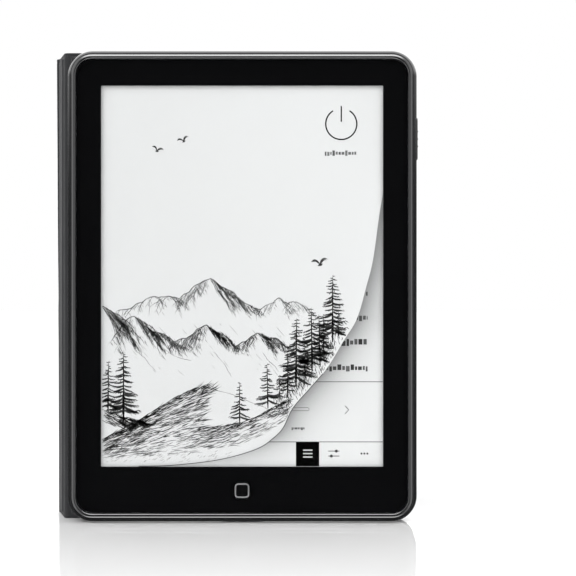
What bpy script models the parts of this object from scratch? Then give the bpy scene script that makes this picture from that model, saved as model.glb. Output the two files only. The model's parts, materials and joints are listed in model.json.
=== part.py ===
"""Six-inch e-reader in a clear bumper shell, with a folio cover folded flat behind it.

It stands upright on its lower edge: +X is to its right, -Y is where the display faces, +Z is up.
The whole model is first laid out in the shell's own frame: x = 0 at the shell's middle, y = 0 at the
front of the shell's lip (y grows towards the back), z = 0 at the shell's lower edge. One empty then
moves that frame so that the world origin is at the bottom centre of the whole object.
"""

import math

import bpy
import bmesh
from mathutils import Vector

MM = 0.001

# ---------------------------------------------------------------- driving dimensions
SHELL_WIDTH = 112.6 * MM
SHELL_HEIGHT = 151.8 * MM
SHELL_DEPTH = 9.9 * MM
SHELL_CORNER = 8.3 * MM
SHELL_WALL = 1.95 * MM
SHELL_BACK = 1.0 * MM
SHELL_LIP_REACH = 3.0 * MM
SHELL_LIP = 0.8 * MM
SHELL_FRONT_ROUND = 2.2 * MM
SHELL_BACK_ROUND = 2.0 * MM

GAP = 0.1 * MM
FIT = 0.15 * MM

DEVICE_INSET = SHELL_WALL + GAP
HOUSING_WALL = 0.8 * MM
HOUSING_FRONT = SHELL_LIP + FIT
HOUSING_BACK = SHELL_DEPTH - SHELL_BACK - GAP
HOUSING_FLOOR = HOUSING_BACK - 1.05 * MM
HOUSING_ROUND = 0.9 * MM

GLASS_FRONT = SHELL_LIP + GAP
GLASS_THICK = 0.75 * MM
GLASS_EDGE = HOUSING_WALL + GAP

# The display's active area is 90.6 by 122.4 mm, the size of a 300 dots-per-inch six-inch panel.
SCREEN_WIDTH = 90.6 * MM
SCREEN_HEIGHT = 122.4 * MM
SCREEN_BOTTOM = 17.9 * MM
SCREEN_MIDDLE = SCREEN_BOTTOM + SCREEN_HEIGHT / 2

# The display's layers are all centred on the screen, each with its own width and height.
TOUCH_SIZE = (96 * MM, 128 * MM)
GUIDE_SIZE = (95 * MM, 127 * MM)
PANEL_SIZE = (97 * MM, 130 * MM)
POCKET_SIZE = (98 * MM, 130.4 * MM)
FLEX_HALF_WIDTH = 16 * MM
FLEX_BOTTOM = 19 * MM
FLEX_BEND = 27 * MM
FLEX_TOP = 33 * MM
FLEX_THICK = 0.12 * MM

HOME_HEIGHT = 10.3 * MM
HOME_CAP = 5.2 * MM
HOME_CORNER = 1.35 * MM
HOME_TRAVEL = 0.3 * MM
RING_SIZE = 4.74 * MM
RING_STROKE = 0.52 * MM
RING_GROOVE = 0.2 * MM

POWER_HEIGHT = 123.4 * MM
POWER_PAD_LENGTH = 13.8 * MM
POWER_PAD_WIDTH = 4.0 * MM
POWER_PAD_RISE = 0.35 * MM
POWER_KEY_LENGTH = 11.8 * MM
POWER_KEY_WIDTH = 2.5 * MM
KEY_LEVEL = 5.0 * MM

PORT_LEVEL = 6.1 * MM
PORT_WIDTH = 8.94 * MM
PORT_THICK = 3.1 * MM
PORT_CUTOUT_WIDTH = 12.8 * MM
PORT_CUTOUT_THICK = 6.2 * MM
PORT_CUTOUT_CORNER = 2.0 * MM
SOCKET_WALL = 0.3 * MM
SOCKET_LENGTH = 5.3 * MM

# Electronics behind the frame. Places are from the shell's middle and its lower edge.
BOARD_HALF_WIDTH = 50 * MM
BOARD_BOTTOM = 3.4 * MM
BOARD_TOP = 50 * MM
BOARD_THICK = 0.8 * MM
SOCKET_NOTCH = 5.4 * MM
SCREW_PLACES = [(side * 46 * MM, height * MM) for height in (7.5, 46) for side in (-1, 1)]
BOSS_RADIUS = 1.9 * MM
CHIP_MIDDLE = 30.5 * MM
CAN_MIDDLE = -20.5 * MM
CAN_WIDTH = 32 * MM
CAN_HEIGHT = 20 * MM
CAN_WALL = 0.2 * MM
CAN_DEPTH = 1.45 * MM

BATTERY_HALF_WIDTH = 42 * MM
BATTERY_BOTTOM = 57.2 * MM
BATTERY_TOP = 123.2 * MM
TAPE_HALF_WIDTH = 38 * MM
TAPE_BOTTOM = 62 * MM
TAPE_TOP = 118 * MM
GUARD_HALF_WIDTH = 28 * MM
GUARD_BOTTOM = 53.4 * MM
GUARD_TOP = 56.9 * MM
LEAD_MIDDLE = 20 * MM
LEAD_BOTTOM = 47.3 * MM
LEAD_TOP = 53.2 * MM

POWER_FLEX_LEFT = 48.6 * MM
POWER_FLEX_RIGHT = 51.5 * MM
POWER_FLEX_BOTTOM = 48 * MM
POWER_FLEX_TOP = 127 * MM
POWER_SWITCH_LEFT = 49.7 * MM
POWER_SWITCH_RIGHT = 51.6 * MM

# Folio. The back panel is glued to the shell, the spine turns on the root hinge line and the cover
# on the outer hinge line. Angles are measured from +X, counter-clockwise from above.
FOLIO_BOTTOM = 0.0 * MM
FOLIO_HEIGHT = 152.2 * MM
FOLIO_CORNER = 7.0 * MM
HINGE_CORNER = 1.2 * MM
BACK_BOARD_THICK = 0.8 * MM
LEATHER_THICK = 0.55 * MM
STIFFENER_THICK = 0.8 * MM
STIFFENER_SHIFT = 0.05 * MM
LINING_THICK = 0.45 * MM
PANEL_HALF = 1.0 * MM
ROOT_HINGE_X = -58.0 * MM
ROOT_HINGE_Y = 10.7 * MM
SPINE_WIDTH = 12.28 * MM
SPINE_LEAN = math.radians(16.1)
COVER_LENGTH = 114.2 * MM
COVER_CLEARANCE = 0.3 * MM
ROOT_CREASE = 1.2 * MM
OUTER_CREASE = 1.6 * MM

CORNER_STEPS = 7
ROUND_STEPS = 4
CIRCLE_STEPS = 16

# ---------------------------------------------------------------- derived places
DEVICE_WIDTH = SHELL_WIDTH - 2 * DEVICE_INSET
DEVICE_HEIGHT = SHELL_HEIGHT - 2 * DEVICE_INSET
DEVICE_CORNER = SHELL_CORNER - DEVICE_INSET
MIDDLE_HEIGHT = SHELL_HEIGHT / 2
HALF_DEVICE = DEVICE_WIDTH / 2

MASK_FRONT = GLASS_FRONT + GLASS_THICK + 0.05 * MM
MASK_BACK = MASK_FRONT + 0.1 * MM
TOUCH_FRONT = MASK_BACK + GAP
TOUCH_BACK = TOUCH_FRONT + 0.2 * MM
GUIDE_FRONT = TOUCH_BACK + GAP
GUIDE_BACK = GUIDE_FRONT + 0.45 * MM
PANEL_FRONT = GUIDE_BACK + GAP
PANEL_BACK = PANEL_FRONT + 0.6 * MM
FLEX_FRONT = PANEL_BACK + GAP
FLEX_BACK = FLEX_FRONT + FLEX_THICK
POCKET_FLOOR = FLEX_BACK + GAP
FRAME_BACK = POCKET_FLOOR + 0.78 * MM
BOARD_FRONT = FRAME_BACK + 0.75 * MM
BOARD_BACK = BOARD_FRONT + BOARD_THICK
CHIP_FACE = BOARD_BACK + GAP
DOME_BASE = BOARD_FRONT - GAP - 0.4 * MM
DOME_FRONT = DOME_BASE - 0.2 * MM

BACK_LEATHER_FACE = SHELL_DEPTH + GAP + BACK_BOARD_THICK + GAP + LEATHER_THICK
OUTER_HINGE_X = ROOT_HINGE_X - SPINE_WIDTH * math.sin(SPINE_LEAN)
OUTER_HINGE_Y = ROOT_HINGE_Y + SPINE_WIDTH * math.cos(SPINE_LEAN)
FOLD_DROP = OUTER_HINGE_Y - BACK_LEATHER_FACE - COVER_CLEARANCE - PANEL_HALF
COVER_SLOPE = math.asin(FOLD_DROP / COVER_LENGTH)

# The object's box: the power pad is its right end, the spine lining's far corner its left end, and
# the cover lining's hinge corner its back.
SPINE_END = SPINE_WIDTH - OUTER_CREASE
RIGHT_END = SHELL_WIDTH / 2 + POWER_PAD_RISE
LEFT_END = ROOT_HINGE_X - SPINE_END * math.sin(SPINE_LEAN) - PANEL_HALF * math.cos(SPINE_LEAN)
BACK_END = OUTER_HINGE_Y - OUTER_CREASE * math.sin(COVER_SLOPE) + PANEL_HALF * math.cos(COVER_SLOPE)
ORIGIN_X = (LEFT_END + RIGHT_END) / 2
ORIGIN_Y = BACK_END / 2


# ---------------------------------------------------------------- materials
def material(name, colour, roughness, metallic=0.0):
    made = bpy.data.materials.new(name)
    made.use_nodes = True
    shader = made.node_tree.nodes["Principled BSDF"]
    shader.inputs["Base Color"].default_value = (*colour, 1.0)
    shader.inputs["Roughness"].default_value = roughness
    shader.inputs["Metallic"].default_value = metallic
    made.diffuse_color = (*colour, 1.0)
    return made


# ---------------------------------------------------------------- shape helpers
def corner_arc(centre, radius, start_angle, steps):
    """Points of a quarter turn, counter-clockwise from start_angle."""
    points = []
    for step in range(steps + 1):
        angle = start_angle + math.pi / 2 * step / steps
        points.append((centre[0] + radius * math.cos(angle), centre[1] + radius * math.sin(angle)))
    return points


def outline(left, right, bottom, top, left_radius, right_radius=None, steps=CORNER_STEPS):
    """A rectangle with rounded corners, whose left and right corners may differ."""
    if right_radius is None:
        right_radius = left_radius
    points = corner_arc((right - right_radius, top - right_radius), right_radius, 0, steps)
    points += corner_arc((left + left_radius, top - left_radius), left_radius, math.pi / 2, steps)
    points += corner_arc((left + left_radius, bottom + left_radius), left_radius, math.pi, steps)
    points += corner_arc((right - right_radius, bottom + right_radius), right_radius, 1.5 * math.pi, steps)
    return points


def centred_outline(width, height, radius, centre_x=0.0, centre_z=0.0, steps=CORNER_STEPS):
    return outline(
        centre_x - width / 2,
        centre_x + width / 2,
        centre_z - height / 2,
        centre_z + height / 2,
        radius,
        steps=steps,
    )


def circle(radius, steps=CIRCLE_STEPS):
    points = []
    for step in range(steps):
        angle = 2 * math.pi * step / steps
        points.append((radius * math.cos(angle), radius * math.sin(angle)))
    return points


def facing_y(points, y):
    """Lays a flat outline in the x-z plane at depth y."""
    return [Vector((px, y, pz)) for px, pz in points]


def facing_z(points, z):
    """Lays a flat outline in the x-y plane at height z."""
    return [Vector((px, py, z)) for px, py in points]


def loft(rings):
    """One closed body through rings of equal point count, with the first and last ring filled."""
    body = bmesh.new()
    rows = [[body.verts.new(point) for point in ring] for ring in rings]
    count = len(rows[0])
    for near, far in zip(rows, rows[1:]):
        for index in range(count):
            after = (index + 1) % count
            body.faces.new((near[index], near[after], far[after], far[index]))
    body.faces.new(rows[0])
    body.faces.new(rows[-1])
    bmesh.ops.recalc_face_normals(body, faces=body.faces)
    return body


def tube(rings):
    """A closed band: the rings in order, and the last joined back to the first."""
    body = bmesh.new()
    rows = [[body.verts.new(point) for point in ring] for ring in rings]
    count = len(rows[0])
    for near, far in zip(rows, rows[1:] + rows[:1]):
        for index in range(count):
            after = (index + 1) % count
            body.faces.new((near[index], near[after], far[after], far[index]))
    bmesh.ops.recalc_face_normals(body, faces=body.faces)
    return body


def slab(points, front, back):
    return loft([facing_y(points, front), facing_y(points, back)])


def block(left, right, front, back, bottom, top):
    points = [(left, bottom), (right, bottom), (right, top), (left, top)]
    return slab(points, front, back)


def centred_block(width, depth, height, centre_x, centre_y, centre_z):
    return block(
        centre_x - width / 2,
        centre_x + width / 2,
        centre_y - depth / 2,
        centre_y + depth / 2,
        centre_z - height / 2,
        centre_z + height / 2,
    )


def pin(radius, front, back, centre_x, centre_z, steps=CIRCLE_STEPS):
    """A round bar along y."""
    points = [(centre_x + px, centre_z + pz) for px, pz in circle(radius, steps)]
    return slab(points, front, back)


def shell_rings(profile, width, height, corner, middle):
    """Rings of one wall section run round a rounded rectangle. The section is (inset, y) pairs."""
    rings = []
    for inset, y in profile:
        points = centred_outline(width - 2 * inset, height - 2 * inset, corner - inset, 0.0, middle)
        rings.append(facing_y(points, y))
    return rings


def quarter_round(inset_centre, y_centre, radius, start_angle, end_angle, steps=ROUND_STEPS):
    """(inset, y) points of a rounded edge."""
    points = []
    for step in range(steps + 1):
        angle = start_angle + (end_angle - start_angle) * step / steps
        points.append((inset_centre + radius * math.cos(angle), y_centre + radius * math.sin(angle)))
    return points


# ---------------------------------------------------------------- object helpers
def empty(name, parent, location, turn=0.0):
    made = bpy.data.objects.new(name, None)
    bpy.context.scene.collection.objects.link(made)
    made.parent = parent
    made.location = location
    made.rotation_euler = (0.0, 0.0, turn)
    return made


def piece(name, body, parent, finish, smooth=False):
    """Makes a named object from a bmesh that is laid out in its parent's frame."""
    mesh = bpy.data.meshes.new(name)
    body.to_mesh(mesh)
    body.free()
    if smooth:
        mesh.shade_smooth()
        mesh.set_sharp_from_angle(angle=math.radians(32))
    mesh.materials.append(finish)
    made = bpy.data.objects.new(name, mesh)
    bpy.context.scene.collection.objects.link(made)
    made.parent = parent
    return made


def tool(name, body, parent):
    """A cutter or an added shape, which is not part of the object itself."""
    made = piece(name, body, parent, TOOL_FINISH)
    made.hide_render = True
    made.display_type = "WIRE"
    return made


def combine(target, body, operation="DIFFERENCE"):
    """Cuts a shape out of a piece, or joins it on."""
    number = len(target.modifiers) + 1
    helper = tool(f"{target.name}_tool_{number}", body, target.parent)
    modifier = target.modifiers.new(f"shape_{number}", "BOOLEAN")
    modifier.operation = operation
    modifier.solver = "EXACT"
    modifier.object = helper


def round_edges(target, width, segments=2):
    modifier = target.modifiers.new("edges", "BEVEL")
    modifier.width = width
    modifier.segments = segments
    modifier.limit_method = "ANGLE"
    modifier.angle_limit = math.radians(40)


# ---------------------------------------------------------------- bumper shell
def make_bumper(root):
    """Tray with a lip over the glass edge, rounded outside, cut out for the plug and the power key."""
    front_round = quarter_round(
        SHELL_FRONT_ROUND, SHELL_FRONT_ROUND, SHELL_FRONT_ROUND, math.pi, 1.5 * math.pi
    )
    back_round = quarter_round(
        SHELL_BACK_ROUND, SHELL_DEPTH - SHELL_BACK_ROUND, SHELL_BACK_ROUND, math.pi / 2, math.pi
    )
    lip_edge = 0.3 * MM
    profile = back_round + front_round
    profile += [
        (SHELL_LIP_REACH - lip_edge, 0.0),
        (SHELL_LIP_REACH, lip_edge),
        (SHELL_LIP_REACH, SHELL_LIP),
        (SHELL_WALL, SHELL_LIP),
        (SHELL_WALL, SHELL_DEPTH - SHELL_BACK),
    ]
    rings = shell_rings(profile, SHELL_WIDTH, SHELL_HEIGHT, SHELL_CORNER, MIDDLE_HEIGHT)
    finish = material("smoke_shell", (0.06, 0.06, 0.065), 0.15)
    shell = piece("bumper_shell", loft(rings), root, finish, smooth=True)

    plug_room = outline(
        -PORT_CUTOUT_WIDTH / 2,
        PORT_CUTOUT_WIDTH / 2,
        PORT_LEVEL - PORT_CUTOUT_THICK / 2,
        PORT_LEVEL + PORT_CUTOUT_THICK / 2,
        PORT_CUTOUT_CORNER,
        steps=4,
    )
    combine(shell, loft([facing_z(plug_room, -SHELL_WALL), facing_z(plug_room, DEVICE_INSET - GAP / 2)]))
    slot = centred_block(
        3 * SHELL_WALL,
        POWER_PAD_WIDTH + 4 * GAP,
        POWER_PAD_LENGTH + 4 * GAP,
        SHELL_WIDTH / 2,
        KEY_LEVEL,
        POWER_HEIGHT,
    )
    combine(shell, slot)


def make_power_key(body_empty):
    """The device's own key, its flange behind the housing wall, and the shell's pad over it."""
    black = material("key_black", (0.012, 0.012, 0.013), 0.3)
    cap = centred_block(
        1.45 * MM,
        POWER_KEY_WIDTH,
        POWER_KEY_LENGTH,
        HALF_DEVICE - 0.425 * MM,
        KEY_LEVEL,
        POWER_HEIGHT,
    )
    key = piece("power_key", cap, body_empty, black)
    flange_right = HALF_DEVICE - HOUSING_WALL - FIT
    flange = block(
        flange_right - 0.75 * MM,
        flange_right + 0.05 * MM,
        KEY_LEVEL - 1.7 * MM,
        KEY_LEVEL + 1.7 * MM,
        POWER_HEIGHT - POWER_KEY_LENGTH / 2 - 0.9 * MM,
        POWER_HEIGHT + POWER_KEY_LENGTH / 2 + 0.9 * MM,
    )
    combine(key, flange, "UNION")
    nub = block(
        flange_right - 1.05 * MM,
        flange_right - 0.7 * MM,
        KEY_LEVEL - 0.6 * MM,
        KEY_LEVEL + 0.6 * MM,
        POWER_HEIGHT - 1.0 * MM,
        POWER_HEIGHT + 1.0 * MM,
    )
    combine(key, nub, "UNION")

    pad_left = HALF_DEVICE + 0.45 * MM
    pad_right = SHELL_WIDTH / 2 + POWER_PAD_RISE
    pad = centred_block(
        pad_right - pad_left,
        POWER_PAD_WIDTH,
        POWER_PAD_LENGTH,
        (pad_left + pad_right) / 2,
        KEY_LEVEL,
        POWER_HEIGHT,
    )
    smoke = material("smoke_pad", (0.06, 0.06, 0.065), 0.2)
    round_edges(piece("power_pad", pad, body_empty, smoke, smooth=True), 0.35 * MM, 3)


# ---------------------------------------------------------------- front of the device
def make_glass(root):
    clear = material("clear_glass", (0.8, 0.85, 0.87), 0.04)
    points = centred_outline(
        DEVICE_WIDTH - 2 * GLASS_EDGE,
        DEVICE_HEIGHT - 2 * GLASS_EDGE,
        DEVICE_CORNER - GLASS_EDGE,
        0.0,
        MIDDLE_HEIGHT,
        steps=10,
    )
    pane = slab(points, GLASS_FRONT, GLASS_FRONT + GLASS_THICK)
    glass = piece("front_glass", pane, root, clear, smooth=True)
    hole = centred_outline(
        HOME_CAP + 2 * FIT, HOME_CAP + 2 * FIT, HOME_CORNER + FIT, 0.0, HOME_HEIGHT, steps=5
    )
    combine(glass, slab(hole, 0.0, 2 * MASK_BACK))

    black = material("mask_black", (0.004, 0.004, 0.005), 0.5)
    mask_points = centred_outline(
        DEVICE_WIDTH - 2 * GLASS_EDGE - 0.4 * MM,
        DEVICE_HEIGHT - 2 * GLASS_EDGE - 0.4 * MM,
        DEVICE_CORNER - GLASS_EDGE - 0.2 * MM,
        0.0,
        MIDDLE_HEIGHT,
    )
    mask = piece("bezel_mask", slab(mask_points, MASK_FRONT, MASK_BACK), root, black)
    window = centred_outline(SCREEN_WIDTH, SCREEN_HEIGHT, 0.2 * MM, 0.0, SCREEN_MIDDLE, steps=1)
    combine(mask, slab(window, 0.0, 2 * MASK_BACK))
    combine(mask, slab(hole, 0.0, 2 * MASK_BACK))


def make_display(root):
    """Touch film, front light and paper-like panel, stacked behind the mask's window."""
    film = material("touch_film", (0.6, 0.62, 0.62), 0.1)
    points = centred_outline(*TOUCH_SIZE, 1 * MM, 0.0, SCREEN_MIDDLE, steps=2)
    piece("touch_sensor", slab(points, TOUCH_FRONT, TOUCH_BACK), root, film)

    guide = material("light_guide", (0.85, 0.87, 0.88), 0.1)
    points = centred_outline(*GUIDE_SIZE, 0.8 * MM, 0.0, SCREEN_MIDDLE, steps=2)
    piece("light_guide", slab(points, GUIDE_FRONT, GUIDE_BACK), root, guide)

    strip = material("light_strip", (0.75, 0.7, 0.45), 0.4)
    guide_bottom = SCREEN_MIDDLE - GUIDE_SIZE[1] / 2
    bar = block(
        -45 * MM, 45 * MM, GUIDE_FRONT, GUIDE_BACK, guide_bottom - 1.3 * MM, guide_bottom - 0.2 * MM
    )
    piece("light_strip", bar, root, strip)

    paper = material("paper_panel", (0.78, 0.78, 0.76), 0.8)
    points = centred_outline(*PANEL_SIZE, 0.6 * MM, 0.0, SCREEN_MIDDLE, steps=2)
    piece("eink_panel", slab(points, PANEL_FRONT, PANEL_BACK), root, paper)


def make_display_flex(root):
    """Flat lead: up behind the panel, through a slot in the frame, and on to the board."""
    amber = material("flex_amber", (0.45, 0.2, 0.03), 0.35)
    rear = FRAME_BACK + GAP
    section = [
        (FLEX_FRONT, FLEX_BOTTOM),
        (FLEX_BACK, FLEX_BOTTOM),
        (FLEX_BACK, FLEX_BEND),
        (rear + FLEX_THICK, FLEX_BEND),
        (rear + FLEX_THICK, FLEX_TOP),
        (rear, FLEX_TOP),
        (rear, FLEX_BEND + FLEX_THICK),
        (FLEX_FRONT, FLEX_BEND + FLEX_THICK),
    ]
    rings = []
    for x in (-FLEX_HALF_WIDTH, FLEX_HALF_WIDTH):
        rings.append([Vector((x, y, z)) for y, z in section])
    piece("display_flex", loft(rings), root, amber)


def make_home_key(body_empty):
    """Key cap with a sunk ring, side flange and stem. It slides inwards onto its dome switch."""
    black = material("home_black", (0.006, 0.006, 0.007), 0.12)
    front = GLASS_FRONT + 0.03 * MM
    flange_front = MASK_BACK + FIT
    points = centred_outline(HOME_CAP, HOME_CAP, HOME_CORNER, 0.0, HOME_HEIGHT, steps=5)
    key = piece("home_key", slab(points, front, flange_front + 0.3 * MM), body_empty, black, smooth=True)
    flange = centred_block(
        8.4 * MM, 0.6 * MM, HOME_CAP - 0.4 * MM, 0.0, flange_front + 0.3 * MM, HOME_HEIGHT
    )
    combine(key, flange, "UNION")
    stem_end = DOME_FRONT - HOME_TRAVEL - 0.2 * MM
    combine(key, pin(1.2 * MM, flange_front + 0.3 * MM, stem_end, 0.0, HOME_HEIGHT), "UNION")

    outer = centred_outline(RING_SIZE, RING_SIZE, 1.2 * MM, 0.0, HOME_HEIGHT, steps=5)
    inner_size = RING_SIZE - 2 * RING_STROKE
    inner = centred_outline(inner_size, inner_size, 0.75 * MM, 0.0, HOME_HEIGHT, steps=5)
    groove = tube([
        facing_y(outer, front - RING_GROOVE),
        facing_y(outer, front + RING_GROOVE),
        facing_y(inner, front + RING_GROOVE),
        facing_y(inner, front - RING_GROOVE),
    ])
    combine(key, groove)

    clear = 0.03 * MM
    outer_size = RING_SIZE - 2 * clear
    outer = centred_outline(outer_size, outer_size, 1.17 * MM, 0.0, HOME_HEIGHT, steps=5)
    inner_size += 2 * clear
    inner = centred_outline(inner_size, inner_size, 0.78 * MM, 0.0, HOME_HEIGHT, steps=5)
    ring = tube([
        facing_y(outer, front - 0.01 * MM),
        facing_y(outer, front + RING_GROOVE - clear),
        facing_y(inner, front + RING_GROOVE - clear),
        facing_y(inner, front - 0.01 * MM),
    ])
    grey = material("ring_grey", (0.24, 0.24, 0.25), 0.35, 0.3)
    piece("home_ring", ring, body_empty, grey, smooth=True)


# ---------------------------------------------------------------- frame and rear housing
def make_mid_frame(root):
    """Metal tray for the display, with bosses for the board's screws behind it."""
    metal = material("cast_frame", (0.42, 0.43, 0.45), 0.4, 1.0)
    inset = HOUSING_WALL + 0.2 * MM
    points = centred_outline(
        DEVICE_WIDTH - 2 * inset,
        DEVICE_HEIGHT - 2 * inset,
        DEVICE_CORNER - inset,
        0.0,
        MIDDLE_HEIGHT,
    )
    frame = piece("mid_frame", slab(points, MASK_BACK + GAP, FRAME_BACK), root, metal)
    for x, z in SCREW_PLACES:
        combine(frame, pin(BOSS_RADIUS, FRAME_BACK - 0.2 * MM, BOARD_FRONT - GAP, x, z, 12), "UNION")
    pocket = centred_outline(*POCKET_SIZE, 0.8 * MM, 0.0, SCREEN_MIDDLE, steps=2)
    combine(frame, slab(pocket, 0.0, POCKET_FLOOR))
    flex_slot = 2 * FLEX_HALF_WIDTH + 2 * MM
    flex_level = FLEX_BEND + FLEX_THICK / 2
    combine(frame, centred_block(flex_slot, 4 * MM, 3 * MM, 0.0, POCKET_FLOOR, flex_level))
    combine(frame, centred_block(9.2 * MM, 9 * MM, 5.8 * MM, 0.0, POCKET_FLOOR, HOME_HEIGHT))
    combine(frame, centred_block(
        5 * MM, 2 * MM, POWER_KEY_LENGTH + 3 * MM, HALF_DEVICE, FRAME_BACK - 0.5 * MM, POWER_HEIGHT
    ))
    for x, z in SCREW_PLACES:
        combine(frame, pin(0.8 * MM, FRAME_BACK - 0.5 * MM, BOARD_BACK, x, z, 12))


def make_rear_housing(root):
    plastic = material("housing_black", (0.015, 0.015, 0.016), 0.5)
    back_round = quarter_round(
        HOUSING_ROUND, HOUSING_BACK - HOUSING_ROUND, HOUSING_ROUND, math.pi / 2, math.pi, 3
    )
    profile = back_round + [
        (0.0, HOUSING_FRONT),
        (HOUSING_WALL, HOUSING_FRONT),
        (HOUSING_WALL, HOUSING_FLOOR),
    ]
    rings = shell_rings(profile, DEVICE_WIDTH, DEVICE_HEIGHT, DEVICE_CORNER, MIDDLE_HEIGHT)
    housing = piece("rear_housing", loft(rings), root, plastic, smooth=True)
    mouth = port_outline(PORT_WIDTH + 2 * FIT, PORT_THICK + 2 * FIT)
    floor = DEVICE_INSET - 0.5 * MM
    combine(housing, loft([facing_z(mouth, floor), facing_z(mouth, floor + 2 * HOUSING_WALL)]))
    combine(housing, centred_block(
        3 * HOUSING_WALL,
        POWER_KEY_WIDTH + 2 * FIT,
        POWER_KEY_LENGTH + 2 * FIT,
        HALF_DEVICE,
        KEY_LEVEL,
        POWER_HEIGHT,
    ))


# ---------------------------------------------------------------- electronics
def port_outline(width, thick):
    """The charging socket's long rounded section, in x and y."""
    return outline(
        -width / 2,
        width / 2,
        PORT_LEVEL - thick / 2,
        PORT_LEVEL + thick / 2,
        thick / 2 - 0.02 * MM,
        steps=4,
    )


def make_mainboard(root):
    green = material("board_green", (0.01, 0.07, 0.04), 0.35)
    points = outline(-BOARD_HALF_WIDTH, BOARD_HALF_WIDTH, BOARD_BOTTOM, BOARD_TOP, 3 * MM, steps=3)
    board = piece("mainboard", slab(points, BOARD_FRONT, BOARD_BACK), root, green)
    combine(board, centred_block(
        PORT_WIDTH + 0.8 * MM, 4 * MM, 2 * SOCKET_NOTCH, 0.0, BOARD_FRONT, BOARD_BOTTOM
    ))
    for x, z in SCREW_PLACES:
        combine(board, pin(1.0 * MM, FRAME_BACK, HOUSING_FLOOR, x, z, 12))


def make_screws(root):
    """Four cross-head screws that hold the board to the frame's bosses."""
    steel = material("screw_steel", (0.55, 0.55, 0.57), 0.3, 1.0)
    for number, (x, z) in enumerate(SCREW_PLACES, start=1):
        head = pin(1.5 * MM, CHIP_FACE, CHIP_FACE + 0.7 * MM, x, z)
        screw = piece(f"board_screw_{number}", head, root, steel, smooth=True)
        combine(screw, pin(0.7 * MM, FRAME_BACK - 0.4 * MM, CHIP_FACE + 0.2 * MM, x, z, 10), "UNION")
        recess_middle = CHIP_FACE + 0.7 * MM
        combine(screw, centred_block(1.7 * MM, 0.7 * MM, 0.4 * MM, x, recess_middle, z))
        combine(screw, centred_block(0.4 * MM, 0.7 * MM, 1.7 * MM, x, recess_middle, z))


def make_chips(root):
    black = material("chip_black", (0.02, 0.02, 0.022), 0.45)
    # name, width, thickness, height, and its middle's place across and up the board
    chips = [
        ("processor", 13 * MM, 0.9 * MM, 13 * MM, -14 * MM, CHIP_MIDDLE),
        ("memory_chip", 9 * MM, 0.9 * MM, 11 * MM, -28 * MM, CHIP_MIDDLE),
        ("storage_chip", 11.5 * MM, 0.9 * MM, 13 * MM, 10 * MM, CHIP_MIDDLE),
        ("power_chip", 7 * MM, 0.8 * MM, 7 * MM, 24 * MM, CHIP_MIDDLE),
        ("hall_sensor", 3 * MM, 1.0 * MM, 1.6 * MM, 47.5 * MM, 24 * MM),
    ]
    for name, width, thick, height, x, z in chips:
        body = centred_block(width, thick, height, x, CHIP_FACE + thick / 2, z)
        round_edges(piece(name, body, root, black), 0.12 * MM, 1)

    steel = material("can_steel", (0.6, 0.6, 0.6), 0.25, 1.0)
    radio = centred_block(12 * MM, 1.3 * MM, 14 * MM, 39 * MM, CHIP_FACE + 0.65 * MM, 36.5 * MM)
    round_edges(piece("radio_module", radio, root, steel), 0.2 * MM, 1)

    face = CHIP_FACE + CAN_DEPTH
    outer = centred_outline(CAN_WIDTH, CAN_HEIGHT, 0.9 * MM, CAN_MIDDLE, CHIP_MIDDLE, steps=3)
    inner = centred_outline(
        CAN_WIDTH - 2 * CAN_WALL,
        CAN_HEIGHT - 2 * CAN_WALL,
        0.9 * MM - CAN_WALL,
        CAN_MIDDLE,
        CHIP_MIDDLE,
        steps=3,
    )
    can = loft([
        facing_y(outer, face),
        facing_y(outer, CHIP_FACE),
        facing_y(inner, CHIP_FACE),
        facing_y(inner, face - CAN_WALL),
    ])
    piece("shield_can", can, root, steel)

    copper = material("antenna_copper", (0.5, 0.22, 0.1), 0.4, 0.6)
    film_face = HOUSING_FLOOR - GAP
    film = block(47 * MM, 52.3 * MM, film_face - 0.15 * MM, film_face, 34 * MM, 92 * MM)
    piece("antenna_film", film, root, copper)


def make_charge_socket(root):
    """Steel sleeve closed at its inner end, with a tongue inside and side tabs on the board."""
    steel = material("socket_steel", (0.62, 0.62, 0.64), 0.25, 1.0)
    mouth_level = DEVICE_INSET + HOUSING_WALL + GAP
    inner_end = mouth_level + SOCKET_LENGTH
    outer = port_outline(PORT_WIDTH, PORT_THICK)
    inner = port_outline(PORT_WIDTH - 2 * SOCKET_WALL, PORT_THICK - 2 * SOCKET_WALL)
    sleeve = loft([
        facing_z(outer, inner_end),
        facing_z(outer, mouth_level),
        facing_z(inner, mouth_level),
        facing_z(inner, inner_end - 0.6 * MM),
    ])
    socket = piece("charge_socket", sleeve, root, steel, smooth=True)
    tongue_bottom = mouth_level + 0.8 * MM
    tongue = block(
        -3.3 * MM,
        3.3 * MM,
        PORT_LEVEL - 0.35 * MM,
        PORT_LEVEL + 0.35 * MM,
        tongue_bottom,
        inner_end - 0.3 * MM,
    )
    combine(socket, tongue, "UNION")
    for side in (-1, 1):
        tab = centred_block(2.4 * MM, 0.25 * MM, 3 * MM, side * 5.4 * MM, CHIP_FACE + 0.125 * MM, 6 * MM)
        combine(socket, tab, "UNION")


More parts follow.
